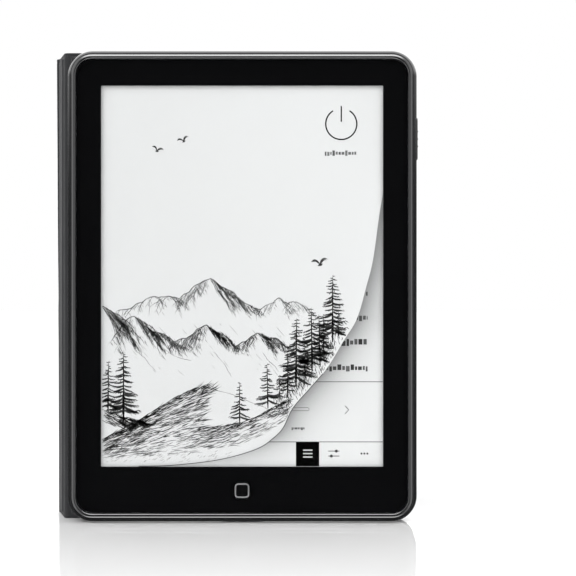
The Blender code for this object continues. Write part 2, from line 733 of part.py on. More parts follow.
def make_battery(root):
    """Flat pouch cell above the board, on double-sided tape, with its protection strip and lead."""
    pouch = material("pouch_silver", (0.5, 0.5, 0.52), 0.35, 0.5)
    cell_face = FRAME_BACK + 0.5 * MM
    cell_back = HOUSING_FLOOR - 0.3 * MM
    cell = block(
        -BATTERY_HALF_WIDTH, BATTERY_HALF_WIDTH, cell_face, cell_back, BATTERY_BOTTOM, BATTERY_TOP
    )
    round_edges(piece("battery", cell, root, pouch, smooth=True), 0.8 * MM, 2)

    white = material("tape_white", (0.7, 0.7, 0.68), 0.8)
    tape_back = FRAME_BACK + 0.35 * MM
    tape = block(
        -TAPE_HALF_WIDTH, TAPE_HALF_WIDTH, FRAME_BACK + GAP, tape_back, TAPE_BOTTOM, TAPE_TOP
    )
    piece("battery_tape", tape, root, white)

    amber = material("guard_amber", (0.5, 0.28, 0.05), 0.4)
    guard_face = FRAME_BACK + 1.0 * MM
    guard_back = guard_face + 1.3 * MM
    guard = block(
        -GUARD_HALF_WIDTH, GUARD_HALF_WIDTH, guard_face, guard_back, GUARD_BOTTOM, GUARD_TOP
    )
    round_edges(piece("battery_guard", guard, root, amber), 0.2 * MM, 1)

    cream = material("socket_cream", (0.75, 0.72, 0.62), 0.5)
    socket = centred_block(7 * MM, 1.2 * MM, 3.4 * MM, LEAD_MIDDLE, CHIP_FACE + 0.6 * MM, 45.4 * MM)
    piece("battery_socket", socket, root, cream)

    red = material("lead_red", (0.4, 0.03, 0.02), 0.5)
    lead_face = CHIP_FACE + 0.2 * MM
    lead_half_width = 2.4 * MM
    lead = block(
        LEAD_MIDDLE - lead_half_width,
        LEAD_MIDDLE + lead_half_width,
        lead_face,
        lead_face + 0.5 * MM,
        LEAD_BOTTOM,
        LEAD_TOP,
    )
    round_edges(piece("battery_lead", lead, root, red), 0.15 * MM, 1)


def make_switches(root):
    """Dome switch for the home key, and side switch on its flat lead for the power key."""
    steel = material("dome_steel", (0.6, 0.6, 0.62), 0.3, 1.0)
    base = centred_block(3.4 * MM, 0.4 * MM, 3.4 * MM, 0.0, DOME_BASE + 0.2 * MM, HOME_HEIGHT)
    switch = piece("home_switch", base, root, steel)
    dome = loft([
        facing_y([(px, pz + HOME_HEIGHT) for px, pz in circle(0.5 * MM)], DOME_FRONT),
        facing_y([(px, pz + HOME_HEIGHT) for px, pz in circle(1.2 * MM)], DOME_BASE),
        facing_y([(px, pz + HOME_HEIGHT) for px, pz in circle(1.2 * MM)], DOME_BASE + 0.2 * MM),
    ])
    combine(switch, dome, "UNION")

    amber = material("power_amber", (0.45, 0.2, 0.03), 0.35)
    flex_front = FRAME_BACK + GAP
    flex = block(
        POWER_FLEX_LEFT,
        POWER_FLEX_RIGHT,
        flex_front,
        flex_front + FLEX_THICK,
        POWER_FLEX_BOTTOM,
        POWER_FLEX_TOP,
    )
    piece("power_flex", flex, root, amber)
    switch_front = flex_front + 0.22 * MM
    block_shape = block(
        POWER_SWITCH_LEFT,
        POWER_SWITCH_RIGHT,
        switch_front,
        switch_front + 1.8 * MM,
        POWER_HEIGHT - 2 * MM,
        POWER_HEIGHT + 2 * MM,
    )
    dark = material("switch_dark", (0.03, 0.03, 0.03), 0.5)
    round_edges(piece("power_switch", block_shape, root, dark), 0.15 * MM, 1)


# ---------------------------------------------------------------- folio
def folio_slab(left, right, hinge_inset, edge_inset, front, back):
    """A panel of the folio in its own frame, with small corners at the hinge and large ones outside."""
    points = outline(
        left + hinge_inset,
        right - edge_inset,
        FOLIO_BOTTOM + edge_inset,
        FOLIO_BOTTOM + FOLIO_HEIGHT - edge_inset,
        HINGE_CORNER,
        FOLIO_CORNER - edge_inset,
    )
    return slab(points, front, back)


def make_back_panel(root):
    leather = material("back_leather", (0.02, 0.021, 0.023), 0.55)
    board = material("back_board", (0.2, 0.2, 0.2), 0.9)
    left = ROOT_HINGE_X + 0.8 * MM
    right = SHELL_WIDTH / 2 - GAP
    board_front = SHELL_DEPTH + GAP
    board_back = board_front + BACK_BOARD_THICK
    shape = folio_slab(left, right, 1.0 * MM, 1.2 * MM, board_front, board_back)
    piece("back_board", shape, root, board)
    shape = folio_slab(left, right, 0.0, 0.0, board_back + GAP, BACK_LEATHER_FACE)
    piece("back_leather", shape, root, leather)


def make_spine(spine):
    """Leather, board and lining of the spine. Local x runs from the root hinge to the outer one."""
    leather = material("spine_leather", (0.02, 0.021, 0.023), 0.55)
    board = material("spine_board", (0.2, 0.2, 0.2), 0.9)
    lining = material("spine_lining", (0.08, 0.08, 0.082), 0.95)
    stiffener_outer = STIFFENER_SHIFT - STIFFENER_THICK / 2
    layers = [
        ("spine_leather", -PANEL_HALF, -PANEL_HALF + LEATHER_THICK, 0.0, leather),
        ("spine_board", stiffener_outer, stiffener_outer + STIFFENER_THICK, 0.8 * MM, board),
        ("spine_lining", PANEL_HALF - LINING_THICK, PANEL_HALF, 0.0, lining),
    ]
    for name, outer_face, inner_face, inset, finish in layers:
        points = outline(
            ROOT_CREASE + inset,
            SPINE_END - inset,
            FOLIO_BOTTOM + inset,
            FOLIO_BOTTOM + FOLIO_HEIGHT - inset,
            HINGE_CORNER / 2,
            steps=3,
        )
        piece(name, slab(points, outer_face, inner_face), spine, finish)


def make_cover(cover):
    """Leather, board, magnets and lining of the cover. Local x runs from the outer hinge to the edge."""
    leather = material("cover_leather", (0.02, 0.021, 0.023), 0.55)
    board = material("cover_board", (0.2, 0.2, 0.2), 0.9)
    lining = material("cover_lining", (0.08, 0.08, 0.082), 0.95)
    nickel = material("magnet_nickel", (0.6, 0.6, 0.6), 0.2, 1.0)
    board_outer = STIFFENER_SHIFT - STIFFENER_THICK / 2
    board_inner = board_outer + STIFFENER_THICK

    shape = folio_slab(OUTER_CREASE, COVER_LENGTH, 0.0, 0.0, -PANEL_HALF, -PANEL_HALF + LEATHER_THICK)
    piece("cover_leather", shape, cover, leather)
    shape = folio_slab(OUTER_CREASE, COVER_LENGTH, 0.0, 0.0, PANEL_HALF - LINING_THICK, PANEL_HALF)
    piece("cover_lining", shape, cover, lining)
    shape = folio_slab(OUTER_CREASE, COVER_LENGTH, 0.8 * MM, 1.6 * MM, board_outer, board_inner)
    stiffener = piece("cover_board", shape, cover, board)

    magnet_length = 14 * MM
    magnet_width = 6 * MM
    for number, height in enumerate((46 * MM, 106 * MM), start=1):
        place = (COVER_LENGTH - 8 * MM, (board_outer + board_inner) / 2, height)
        pocket = centred_block(
            magnet_width + 4 * GAP, 3 * STIFFENER_THICK, magnet_length + 4 * GAP, *place
        )
        combine(stiffener, pocket)
        magnet = centred_block(magnet_width, STIFFENER_THICK - 2 * GAP, magnet_length, *place)
        piece(f"cover_magnet_{number}", magnet, cover, nickel)


# ---------------------------------------------------------------- assembly
for old in list(bpy.data.objects):
    bpy.data.objects.remove(old, do_unlink=True)

TOOL_FINISH = material("tool_grey", (0.5, 0.5, 0.5), 0.5)

root_frame = empty("reader_frame", None, (-ORIGIN_X, -ORIGIN_Y, 0.0))
home_frame = empty("home_key_slide", root_frame, (0.0, 0.0, 0.0))
power_frame = empty("power_key_slide", root_frame, (0.0, 0.0, 0.0))
spine_frame = empty(
    "root_hinge", root_frame, (ROOT_HINGE_X, ROOT_HINGE_Y, 0.0), math.pi / 2 + SPINE_LEAN
)
cover_frame = empty("outer_hinge", root_frame, (OUTER_HINGE_X, OUTER_HINGE_Y, 0.0), -COVER_SLOPE)

make_bumper(root_frame)
make_power_key(power_frame)
make_glass(root_frame)
make_display(root_frame)
make_display_flex(root_frame)
make_home_key(home_frame)
make_mid_frame(root_frame)
make_rear_housing(root_frame)
make_mainboard(root_frame)
make_screws(root_frame)
make_chips(root_frame)
make_charge_socket(root_frame)
make_battery(root_frame)
make_switches(root_frame)
make_back_panel(root_frame)
make_spine(spine_frame)
make_cover(cover_frame)
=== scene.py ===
import json
import math
import random

import bmesh
import bpy
import mathutils
import numpy as np
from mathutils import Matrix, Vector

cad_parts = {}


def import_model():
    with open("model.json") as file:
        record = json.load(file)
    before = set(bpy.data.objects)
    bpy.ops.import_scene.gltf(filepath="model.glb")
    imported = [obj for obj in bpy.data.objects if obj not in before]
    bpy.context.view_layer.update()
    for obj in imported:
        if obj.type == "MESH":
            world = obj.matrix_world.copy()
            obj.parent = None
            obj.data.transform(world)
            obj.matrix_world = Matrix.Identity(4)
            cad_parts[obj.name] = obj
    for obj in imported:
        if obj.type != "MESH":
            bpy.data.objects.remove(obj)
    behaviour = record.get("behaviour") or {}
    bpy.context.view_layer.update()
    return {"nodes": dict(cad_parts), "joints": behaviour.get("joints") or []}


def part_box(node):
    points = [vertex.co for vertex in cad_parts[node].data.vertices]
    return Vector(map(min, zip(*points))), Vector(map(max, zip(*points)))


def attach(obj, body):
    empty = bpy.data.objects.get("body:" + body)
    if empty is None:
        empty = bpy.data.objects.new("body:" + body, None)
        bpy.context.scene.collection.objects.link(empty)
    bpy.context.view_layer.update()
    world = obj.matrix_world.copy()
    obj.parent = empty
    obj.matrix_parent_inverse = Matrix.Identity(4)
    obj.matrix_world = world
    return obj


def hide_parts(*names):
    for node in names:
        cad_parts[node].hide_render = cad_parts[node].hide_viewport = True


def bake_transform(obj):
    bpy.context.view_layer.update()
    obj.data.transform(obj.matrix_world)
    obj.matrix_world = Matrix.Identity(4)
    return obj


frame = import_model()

MM = 0.001
NODES = frame["nodes"]

# ---- places
# Everything is laid out in millimetres in the shell's own frame: x from the shell's middle, y from
# the front of its lip towards the back, z from its lower edge. world() takes that to the row frame.
SHELL_LOW, SHELL_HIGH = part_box("bumper_shell")
ORIGIN = np.array([(SHELL_LOW[0] + SHELL_HIGH[0]) / 2, SHELL_LOW[1], 0.0])
HALF_WIDTH = (SHELL_HIGH[0] - SHELL_LOW[0]) / 2 / MM
HEIGHT = (SHELL_HIGH[2] - SHELL_LOW[2]) / MM
DEPTH = (SHELL_HIGH[1] - SHELL_LOW[1]) / MM
MIDDLE = HEIGHT / 2


def world(points):
    return np.asarray(points, float) * MM + ORIGIN


def local(point):
    return (np.asarray(point, float) - ORIGIN) / MM


def local_box(node):
    low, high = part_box(node)
    return local(low), local(high)


# ---- noise on arrays
def smooth(value, low, high):
    part = np.clip((np.asarray(value, float) - low) / (high - low), 0.0, 1.0)
    return part * part * (3 - 2 * part)


def grid_noise(u, v, seed):
    """Smooth noise from 0 to 1 at points (u, v), one lattice step per unit."""
    lattice = np.random.default_rng(seed).random((256, 256))
    u0, v0 = np.floor(u).astype(int), np.floor(v).astype(int)
    fu, fv = u - u0, v - v0
    fu, fv = fu * fu * (3 - 2 * fu), fv * fv * (3 - 2 * fv)
    a, b = lattice[u0 % 256, v0 % 256], lattice[(u0 + 1) % 256, v0 % 256]
    c, d = lattice[u0 % 256, (v0 + 1) % 256], lattice[(u0 + 1) % 256, (v0 + 1) % 256]
    return (a * (1 - fu) + b * fu) * (1 - fv) + (c * (1 - fu) + d * fu) * fv


# ---- materials
class Tree:
    """A node tree, with short calls for the nodes that go into it."""

    def __init__(self, owner):
        owner.use_nodes = True
        self.tree = owner.node_tree

    def put(self, socket, value):
        if isinstance(value, bpy.types.NodeSocket):
            self.tree.links.new(value, socket)
        elif socket.type == "RGBA" and len(value) == 3:
            socket.default_value = (*value, 1.0)
        else:
            socket.default_value = value

    def add(self, kind, inputs=(), **settings):
        node = self.tree.nodes.new("ShaderNode" + kind)
        for key, value in settings.items():
            setattr(node, key, value)
        for key, value in dict(inputs).items():
            self.put(node.inputs[key], value)
        return node

    def maths(self, operation, a, b=0.0):
        return self.add("Math", {0: a, 1: b}, operation=operation).outputs[0]

    def times(self, a, b):
        return self.maths("MULTIPLY", a, b)

    def weighed(self, *parts):
        """The sum of values, each times its share."""
        total = None
        for value, share in parts:
            part = self.times(value, share)
            total = part if total is None else self.maths("ADD", total, part)
        return total

    def span(self, value, low, high, out_low=0.0, out_high=1.0, **settings):
        inputs = {"Value": value, "From Min": low, "From Max": high, "To Min": out_low, "To Max": out_high}
        return self.add("MapRange", inputs, **settings).outputs["Result"]


class Finish(Tree):
    """One procedural material. tint, gloss and raise_by drive its colour, roughness and normal."""

    def __init__(self, name, roughness=0.5, **sockets):
        self.material = bpy.data.materials.new(name)
        super().__init__(self.material)
        self.shader = self.tree.nodes["Principled BSDF"]
        self.place = self.add("TexCoord").outputs["Object"]
        self.set("Roughness", roughness)
        for socket, value in sockets.items():
            self.set(socket.replace("_", " "), value)

    def set(self, socket, value):
        self.put(self.shader.inputs[socket], value)

    def noise(self, scale, detail=3.0, rough=0.55, place=None):
        inputs = {"Vector": place or self.place, "Scale": scale, "Detail": detail, "Roughness": rough}
        return self.add("TexNoise", inputs).outputs["Fac"]

    def stretched(self, scale, place=None):
        """The place, scaled by a different number along each axis."""
        return self.add("Mapping", {"Vector": place or self.place, "Scale": scale}).outputs["Vector"]

    def cells(self, scale, place=None, randomness=1.0):
        inputs = {"Vector": place or self.place, "Scale": scale, "Randomness": randomness}
        return self.add("TexVoronoi", inputs).outputs["Distance"]

    def blend(self, share, a, b):
        node = self.add("Mix", data_type="RGBA")
        for index, value in ((0, share), (6, a), (7, b)):
            self.put(node.inputs[index], value)
        return node.outputs[2]

    def axis(self, name):
        return self.add("SeparateXYZ", {0: self.place}).outputs[name]

    def bump(self, height, distance, strength, normal=None):
        inputs = {"Height": height, "Distance": distance, "Strength": strength}
        if normal is not None:
            inputs["Normal"] = normal
        return self.add("Bump", inputs).outputs["Normal"]

    def raise_by(self, height, distance, strength):
        self.set("Normal", self.bump(height, distance, strength))

    def tint(self, value, low, high, first, second):
        self.set("Base Color", self.blend(self.span(value, low, high), first, second))

    def gloss(self, value, low, high, first, second):
        self.set("Roughness", self.span(value, low, high, first, second))

    def vary(self, colour, amount, scale):
        """The colour, drifting darker and lighter over the surface."""
        light = tuple(min(1.0, c * (1 + amount)) for c in colour)
        dark = tuple(c * (1 - amount) for c in colour)
        self.set("Base Color", self.blend(self.noise(scale), dark, light))

    def vary_roughness(self, low, high, scale):
        self.gloss(self.noise(scale, 5.0), 0.3, 0.7, low, high)

    def surface(self, shader):
        """Makes another shader the material's surface."""
        self.put(self.tree.nodes["Material Output"].inputs["Surface"], shader.outputs[0])


def plain(name, colour, roughness, grain=(900.0, 0.00002), drift=0.12, **sockets):
    """Moulded or cast stuff: a drifting colour, uneven gloss and a fine grain."""
    finish = Finish(name, roughness, **sockets)
    finish.vary(colour, drift, 60.0)
    finish.vary_roughness(roughness * 0.85, min(1.0, roughness * 1.2), 240.0)
    finish.raise_by(finish.noise(grain[0], 4.0), grain[1], 0.6)
    return finish.material


def smoke_finish():
    """Dark smoke-tinted soft plastic: glossy, with faint flow marks."""
    finish = Finish("smoke_plastic", 0.1, IOR=1.5)
    finish.vary((0.0075, 0.0077, 0.0085), 0.25, 45.0)
    finish.vary_roughness(0.07, 0.14, 240.0)
    flow = finish.noise(1.0, 2.0, 0.5, finish.stretched((220.0, 220.0, 40.0)))
    finish.raise_by(flow, 0.00001, 0.3)
    return finish.material


def glass_finish(name, tint, roughness, ripple):
    """Clear sheet: see-through, with a faint reflection from its outer side."""
    finish = Finish(name)
    normal = finish.bump(finish.noise(30.0, 2.0), ripple, 0.2)
    clear = finish.add("BsdfTransparent", {"Color": tint})
    gloss = finish.add("BsdfGlossy", {"Color": (1, 1, 1), "Roughness": roughness, "Normal": normal})
    share = finish.add("Fresnel", {"IOR": 1.5, "Normal": normal}).outputs["Fac"]
    outside = finish.maths("SUBTRACT", 1.0, finish.add("NewGeometry").outputs["Backfacing"])
    share = finish.times(share, outside)
    finish.surface(finish.add("MixShader", {0: share, 1: clear.outputs[0], 2: gloss.outputs[0]}))
    finish.tree.nodes.remove(finish.shader)
    return finish.material


def film_finish(name, tint, pitch):
    """Thin clear film with a fine pattern in it that is just darker than the rest."""
    finish = Finish(name)
    dots = finish.cells(pitch, randomness=0.0)
    colour = finish.blend(finish.span(dots, 0.2, 0.3), tuple(c * 0.975 for c in tint), tint)
    finish.surface(finish.add("BsdfTransparent", {"Color": colour}))
    finish.tree.nodes.remove(finish.shader)
    return finish.material


def metal(name, colour, roughness, brushed):
    finish = Finish(name, roughness, Metallic=1.0)
    finish.vary(colour, 0.1, 80.0)
    streaks = finish.noise(1.0, 4.0, 0.6, finish.stretched(brushed))
    finish.gloss(streaks, 0.3, 0.7, roughness * 0.7, roughness * 1.4)
    finish.raise_by(streaks, 0.00001, 0.5)
    return finish.material


def leather_finish():
    """Charcoal leather with lighter streaks along its ribs, fine fibres and pores."""
    finish = Finish("ribbed_leather", 0.5, Specular_IOR_Level=0.12)
    uv = finish.add("UVMap", uv_map="flat").outputs["UV"]
    lines = finish.noise(1.0, 4.0, 0.65, finish.stretched((14.0, 125.0, 1.0), uv))
    fibre = finish.noise(1.0, 5.0, 0.7, finish.stretched((500.0, 1500.0, 1.0), uv))
    pores = finish.cells(700.0, finish.stretched((0.6, 1.0, 1.0), uv))
    tone = finish.weighed((lines, 0.6), (fibre, 0.4))
    finish.tint(tone, 0.36, 0.62, (0.0048, 0.0052, 0.006), (0.0205, 0.0215, 0.024))
    finish.gloss(tone, 0.3, 0.7, 0.62, 0.42)
    first = finish.bump(tone, 0.00008, 0.8)
    finish.set("Normal", finish.bump(finish.span(pores, 0.0, 0.35), 0.00004, 0.5, first))
    return finish.material


def lining_finish():
    """Dark grey brushed microfibre: short nap, faint streaks where it was stroked."""
    finish = Finish("grey_microfibre", 0.92, Specular_IOR_Level=0.05, Sheen_Weight=0.1, Sheen_Roughness=0.5)
    uv = finish.add("UVMap", uv_map="flat").outputs["UV"]
    nap = finish.noise(2600.0, 4.0, 0.7, uv)
    tufts = finish.noise(700.0, 3.0, 0.6, uv)
    strokes = finish.noise(1.0, 3.0, 0.5, finish.stretched((26.0, 9.0, 1.0), uv))
    tone = finish.weighed((nap, 0.5), (tufts, 0.3), (strokes, 0.2))
    finish.tint(tone, 0.36, 0.64, (0.018, 0.0185, 0.0195), (0.04, 0.0405, 0.0425))
    finish.gloss(tone, 0.3, 0.7, 0.98, 0.86)
    finish.raise_by(tone, 0.00012, 0.7)
    return finish.material


def paper_finish(name, tone_name=None):
    """Display surface: matt, with the fine speckle of its ink capsules."""
    finish = Finish(name, 0.75, Specular_IOR_Level=0.05)
    speckle = finish.noise(9000.0, 2.0)
    base = (0.66, 0.662, 0.666)
    if tone_name:
        base = finish.add("Attribute", attribute_name=tone_name).outputs["Color"]
        dark = finish.blend(0.975, (0.0, 0.0, 0.0), base)
    else:
        dark = tuple(c * 0.975 for c in base)
    finish.tint(speckle, 0.35, 0.65, dark, base)
    finish.raise_by(speckle, 0.000004, 0.3)
    return finish.material


SMOKE = smoke_finish()
LEATHER = leather_finish()
LINING = lining_finish()


# ---- pieces
def placed(name, data):
    """A new object in the scene."""
    made = bpy.data.objects.new(name, data)
    bpy.context.scene.collection.objects.link(made)
    return made


def smoothed(mesh, sharp):
    """Smooth shading, with creases where faces meet at more than sharp degrees."""
    mesh.shade_smooth()
    mesh.set_sharp_from_angle(angle=math.radians(sharp))


def mesh_piece(name, points, faces, finish, slot, body=None, sharp=35.0):
    """A piece from points in the shell's frame. It rides on a body when one is given."""
    mesh = bpy.data.meshes.new(name)
    mesh.from_pydata(world(points).tolist(), [], faces)
    mesh.update()
    mesh.materials.append(finish)
    smoothed(mesh, sharp)
    made = placed(name, mesh)
    if body:
        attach(made, body)
    return made


def turned_out(name):
    """Makes a mesh's faces point out."""
    work = bmesh.new()
    mesh = bpy.data.objects[name].data
    work.from_mesh(mesh)
    bmesh.ops.recalc_face_normals(work, faces=work.faces)
    work.to_mesh(mesh)
    work.free()


def rounded(half_width, half_height, radius, centre=(0.0, 0.0), steps=20):
    """A rounded rectangle's points, counter-clockwise, with the same count for any size."""
    points = []
    for corner, (sx, sz) in enumerate(((1, 1), (-1, 1), (-1, -1), (1, -1))):
        for step in range(steps + 1):
            angle = math.pi / 2 * (corner + step / steps)
            points.append((
                centre[0] + sx * (half_width - radius) + radius * math.cos(angle),
                centre[1] + sz * (half_height - radius) + radius * math.sin(angle),
            ))
    return points


def arc(centre, radii, start, end, steps):
    """Points of an ellipse's part, from one angle to another in degrees."""
    return [
        (
            centre[0] + radii[0] * math.cos(math.radians(start + (end - start) * step / steps)),
            centre[1] + radii[1] * math.sin(math.radians(start + (end - start) * step / steps)),
        )
        for step in range(steps + 1)
    ]


def rounded_rings(profile, half, radius, centre, steps, along_x=False):
    """A ring for each (inset, depth) of a profile: a rounded rectangle, smaller by the inset. It lies
    across y, or across x."""
    rings = []
    for inset, depth in profile:
        outline = rounded(half[0] - inset, half[1] - inset, max(0.35, radius - inset), centre, steps)
        rings.append([(depth, a, b) if along_x else (a, depth, b) for a, b in outline])
    return rings


def ringed(rings, joined=False):
    """Faces through rings of points of equal count: (points, faces). The ends are closed, or joined to
    each other."""
    count = len(rings[0])
    points = [point for ring in rings for point in ring]
    faces = []
    pairs = list(range(len(rings) - 1)) + ([len(rings) - 1] if joined else [])
    for row in pairs:
        below = (row + 1) % len(rings)
        for index in range(count):
            after = (index + 1) % count
            faces.append((
                row * count + index, row * count + after, below * count + after, below * count + index
            ))
    if not joined:
        faces.append(tuple(range(count))[::-1])
        faces.append(tuple(range((len(rings) - 1) * count, len(rings) * count)))
    return points, faces


def cut(target, cutter_rings):
    """Cuts a closed shape out of a piece for good."""
    points, faces = ringed(cutter_rings)
    mesh = bpy.data.meshes.new("cutter")
    mesh.from_pydata(world(points).tolist(), [], faces)
    helper = placed("cutter", mesh)
    turned_out("cutter")
    modifier = target.modifiers.new("cut", "BOOLEAN")
    modifier.operation, modifier.solver, modifier.object = "DIFFERENCE", "EXACT", helper
    graph = bpy.context.evaluated_depsgraph_get()
    result = bpy.data.meshes.new_from_object(target.evaluated_get(graph))
    target.modifiers.clear()
    target.data = result
    bpy.data.objects.remove(helper)


# ---- bumper shell
CORNER = 8.3
# The wall's section: the lip of thickness LIP reaches LIP_REACH in over the glass. SEAM is the depth of
# the parting line. In front of it the side rolls forward to a groove, and a dome leads to the inner edge.
WALL, BACK_WALL = 1.95, 1.0
LIP, LIP_REACH = 0.8, 3.0
BACK_ROUND = 2.0
SEAM = 5.17
SIDE_END, SIDE_RADIUS = 4.13, 5.0
DOME_RADIUS, INNER_RADIUS = 1.55, 0.45
PORT_LEVEL, PORT_HALF, PORT_CORNER = 6.1, (6.4, 3.1), 2.0
PAD_GAP, PAD_CORNER, HOLE_CORNER = 0.2, 1.0, 1.1
RIDGES_UP, RIDGE_HALF, RIDGE_RISE = (-2.4, 0.0, 2.4), 0.28, 0.14


def rolled(start, radius, tilt_from, tilt_to, steps):
    """(inset, y) along an arc whose surface tilts from one angle to another, 90 facing outwards
    and 0 facing the front."""
    line = []
    for step in range(steps + 1):
        tilt = math.radians(tilt_from + (tilt_to - tilt_from) * step / steps)
        first = math.radians(tilt_from)
        line.append((
            start[0] + radius * (math.sin(first) - math.sin(tilt)),
            start[1] - radius * (math.cos(tilt) - math.cos(first)),
        ))
    return line


def bumper_profile():
    """(inset, y) round the wall's section, from the outer edge of the back to the pocket's floor."""
    profile = arc((BACK_ROUND, DEPTH - BACK_ROUND), (BACK_ROUND, BACK_ROUND), 90, 180, 14)
    profile += [(0.0, SEAM + 0.18), (-0.035, SEAM + 0.05), (-0.035, SEAM - 0.05), (0.0, SEAM - 0.18)]
    profile += rolled((0.0, SIDE_END), SIDE_RADIUS, 90, 49, 14)
    groove = profile[-1]
    profile += [(groove[0] + 0.06, groove[1] + 0.03), (groove[0] + 0.13, groove[1] + 0.03)]
    profile += rolled((groove[0] + 0.22, groove[1] - 0.09), DOME_RADIUS, 60, 13, 14)
    profile += rolled(profile[-1], INNER_RADIUS, 13, -88, 10)[1:]
    profile += [(LIP_REACH, LIP), (WALL, LIP), (WALL, DEPTH - BACK_WALL)]
    return profile


def make_bumper():
    outer = (HALF_WIDTH, MIDDLE)
    points, faces = ringed(rounded_rings(bumper_profile(), outer, CORNER, (0.0, MIDDLE), 26))
    shell = mesh_piece("bumper_shell_fine", points, faces, SMOKE, "smoke_shell")
    turned_out(shell.name)

    mouth = []
    for z, flare in ((-1.0, 0.75), (0.0, 0.45), (0.12, 0.2), (0.4, 0.0), (3.5, 0.0)):
        half = (PORT_HALF[0] + flare, PORT_HALF[1] + flare)
        outline = rounded(*half, PORT_CORNER + flare, (0.0, PORT_LEVEL), 10)
        mouth.append([(x, y, z) for x, y in outline])
    cut(shell, mouth)

    centre, half, _ = pad_place()
    hole = [size + PAD_GAP for size in half]
    flared = ((-0.3, HALF_WIDTH + 1), (-0.15, HALF_WIDTH), (0.0, HALF_WIDTH - 0.2), (0.0, 50.0))
    cut(shell, rounded_rings(flared, hole, HOLE_CORNER, centre, 8, along_x=True))
    smoothed(shell.data, 32)
    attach(shell, "reader")
    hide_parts("bumper_shell")


def pad_place():
    """The power pad's middle and half size in (y, z), and its reach in x."""
    low, high = local_box("power_pad")
    centre = ((low[1] + high[1]) / 2, (low[2] + high[2]) / 2)
    return centre, ((high[1] - low[1]) / 2, (high[2] - low[2]) / 2), (low[0], high[0])


def make_power_pad():
    """Raised pad over the power key: rounded, slightly crowned, with three grip ridges."""
    centre, half, (foot, crown) = pad_place()
    profile = [(0.25, foot), (0.0, foot + 0.25), (0.0, crown - 0.5)]
    profile += [(0.5 + a, crown - 0.5 + b) for a, b in arc((0, 0), (0.5, 0.42), 180, 90, 6)]
    profile += [(0.9, crown - 0.03), (1.4, crown)]
    points, faces = ringed(rounded_rings(profile, half, PAD_CORNER, centre, 8, along_x=True))
    for ridge in RIDGES_UP:
        base = len(points)
        sections = []
        for step in range(-6, 7):
            z = centre[1] + ridge + RIDGE_HALF * step / 6
            rise = RIDGE_RISE * math.cos(math.pi / 2 * step / 6) - 0.02
            sections.append([
                (crown - 0.06, centre[0] - 1.15, z), (crown + rise, centre[0] - 0.95, z),
                (crown + rise, centre[0] + 0.95, z), (crown - 0.06, centre[0] + 1.15, z),
            ])
        more, ridge_faces = ringed(sections)
        points += more
        faces += [tuple(index + base for index in face) for face in ridge_faces]
    pad = mesh_piece("power_pad_fine", points, faces, SMOKE, "smoke_shell", "power_button")
    turned_out(pad.name)
    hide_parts("power_pad")


# ---- home key's ring
RING_STROKE = 0.46
RING_CORNER = 1.17


def make_home_ring():
    """The grey inlay: a rounded bar bent round a rounded square."""
    low, high = local_box("home_ring")
    centre = ((low[0] + high[0]) / 2, (low[2] + high[2]) / 2)
    half, front, back = (high[0] - low[0]) / 2, low[1] - 0.005, high[1]
    rise = ((0.0, 0.07), (0.03, 0.03), (0.1, 0.006), (0.2, 0.0))
    profile = [(0.0, back)] + [(inset, front + fall) for inset, fall in rise]
    profile += [(RING_STROKE - inset, front + fall) for inset, fall in reversed(rise)]
    profile += [(RING_STROKE, back)]
    points, faces = ringed(rounded_rings(profile, (half, half), RING_CORNER, centre, 12), joined=True)
    finish = plain("ring_grey", (0.2, 0.2, 0.205), 0.35, (3000.0, 0.00001), Metallic=0.3)
    ring = mesh_piece("home_ring_fine", points, faces, finish, "ring_grey", "home_button")
    turned_out(ring.name)
    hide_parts("home_ring")


# ---- folio
JOINTS = {joint["name"]: joint for joint in frame["joints"]}
ROOT = local(JOINTS["spine_fold"]["pos_m"])[:2]
OUTER = local(JOINTS["cover_fold"]["pos_m"])[:2]
FOLIO_HEIGHT = local_box("cover_leather")[1][2]
FOLIO_CORNER = 7.0
SPINE_WIDTH = float(np.linalg.norm(OUTER - ROOT))
ALONG_SPINE = (OUTER - ROOT) / SPINE_WIDTH
# The folded-back cover leans on the back panel: its slope at rest, as in the CAD.
COVER_SLOPE = math.radians(4.8969)
ALONG_COVER = np.array([math.cos(COVER_SLOPE), -math.sin(COVER_SLOPE)])
COVER_LENGTH = 114.2
BACK_END = 56.2
BACK_MID = 10.725
ROOT_BEND = 1.3
OUTER_BEFORE = 1.9
OUTER_AFTER = 2.2
OUTER_NOMINAL = 6.0
LINING_TUCK = 3.6
# How far each board stops short of its crease, the spine's at both.
BACK_GAP, SPINE_GAPS, COVER_GAP = 0.85, (2.0, 2.4), 2.4
END_TAPER = 14.0
BORDER = 1.12
GROOVE_WIDTH, GROOVE_DEPTH = 0.16, 0.05
EDGE_ROUND, EDGE_DROP = 0.3, 0.26
RIB_PITCH, FINE_RIB_PITCH, RIB_HEIGHT = 0.98, 0.61, 0.11

# Distances along the folio's middle line, from the back panel's free end: S_ROOT and S_ROOT_END are the
# root crease's ends, S_OUTER and S_OUTER_END the outer crease's, S_MID the spine's middle.
ROOT_TURN = math.radians(180) - math.atan2(ALONG_SPINE[1], ALONG_SPINE[0])
ROOT_REACH = ROOT_BEND * math.tan(ROOT_TURN / 2)
ROOT_ALONG = (BACK_MID - ROOT[1]) / ALONG_SPINE[1]
ROOT_CORNER = ROOT + ALONG_SPINE * ROOT_ALONG
S_ROOT = BACK_END - (ROOT_CORNER[0] + ROOT_REACH)
S_ROOT_END = S_ROOT + ROOT_BEND * ROOT_TURN
SPINE_FROM = ROOT_ALONG + ROOT_REACH
S_OUTER = S_ROOT_END + SPINE_WIDTH - OUTER_BEFORE - SPINE_FROM
S_OUTER_END = S_OUTER + OUTER_NOMINAL
S_END = S_OUTER_END + COVER_LENGTH - OUTER_AFTER
S_MID = S_ROOT_END + SPINE_WIDTH / 2 - SPINE_FROM


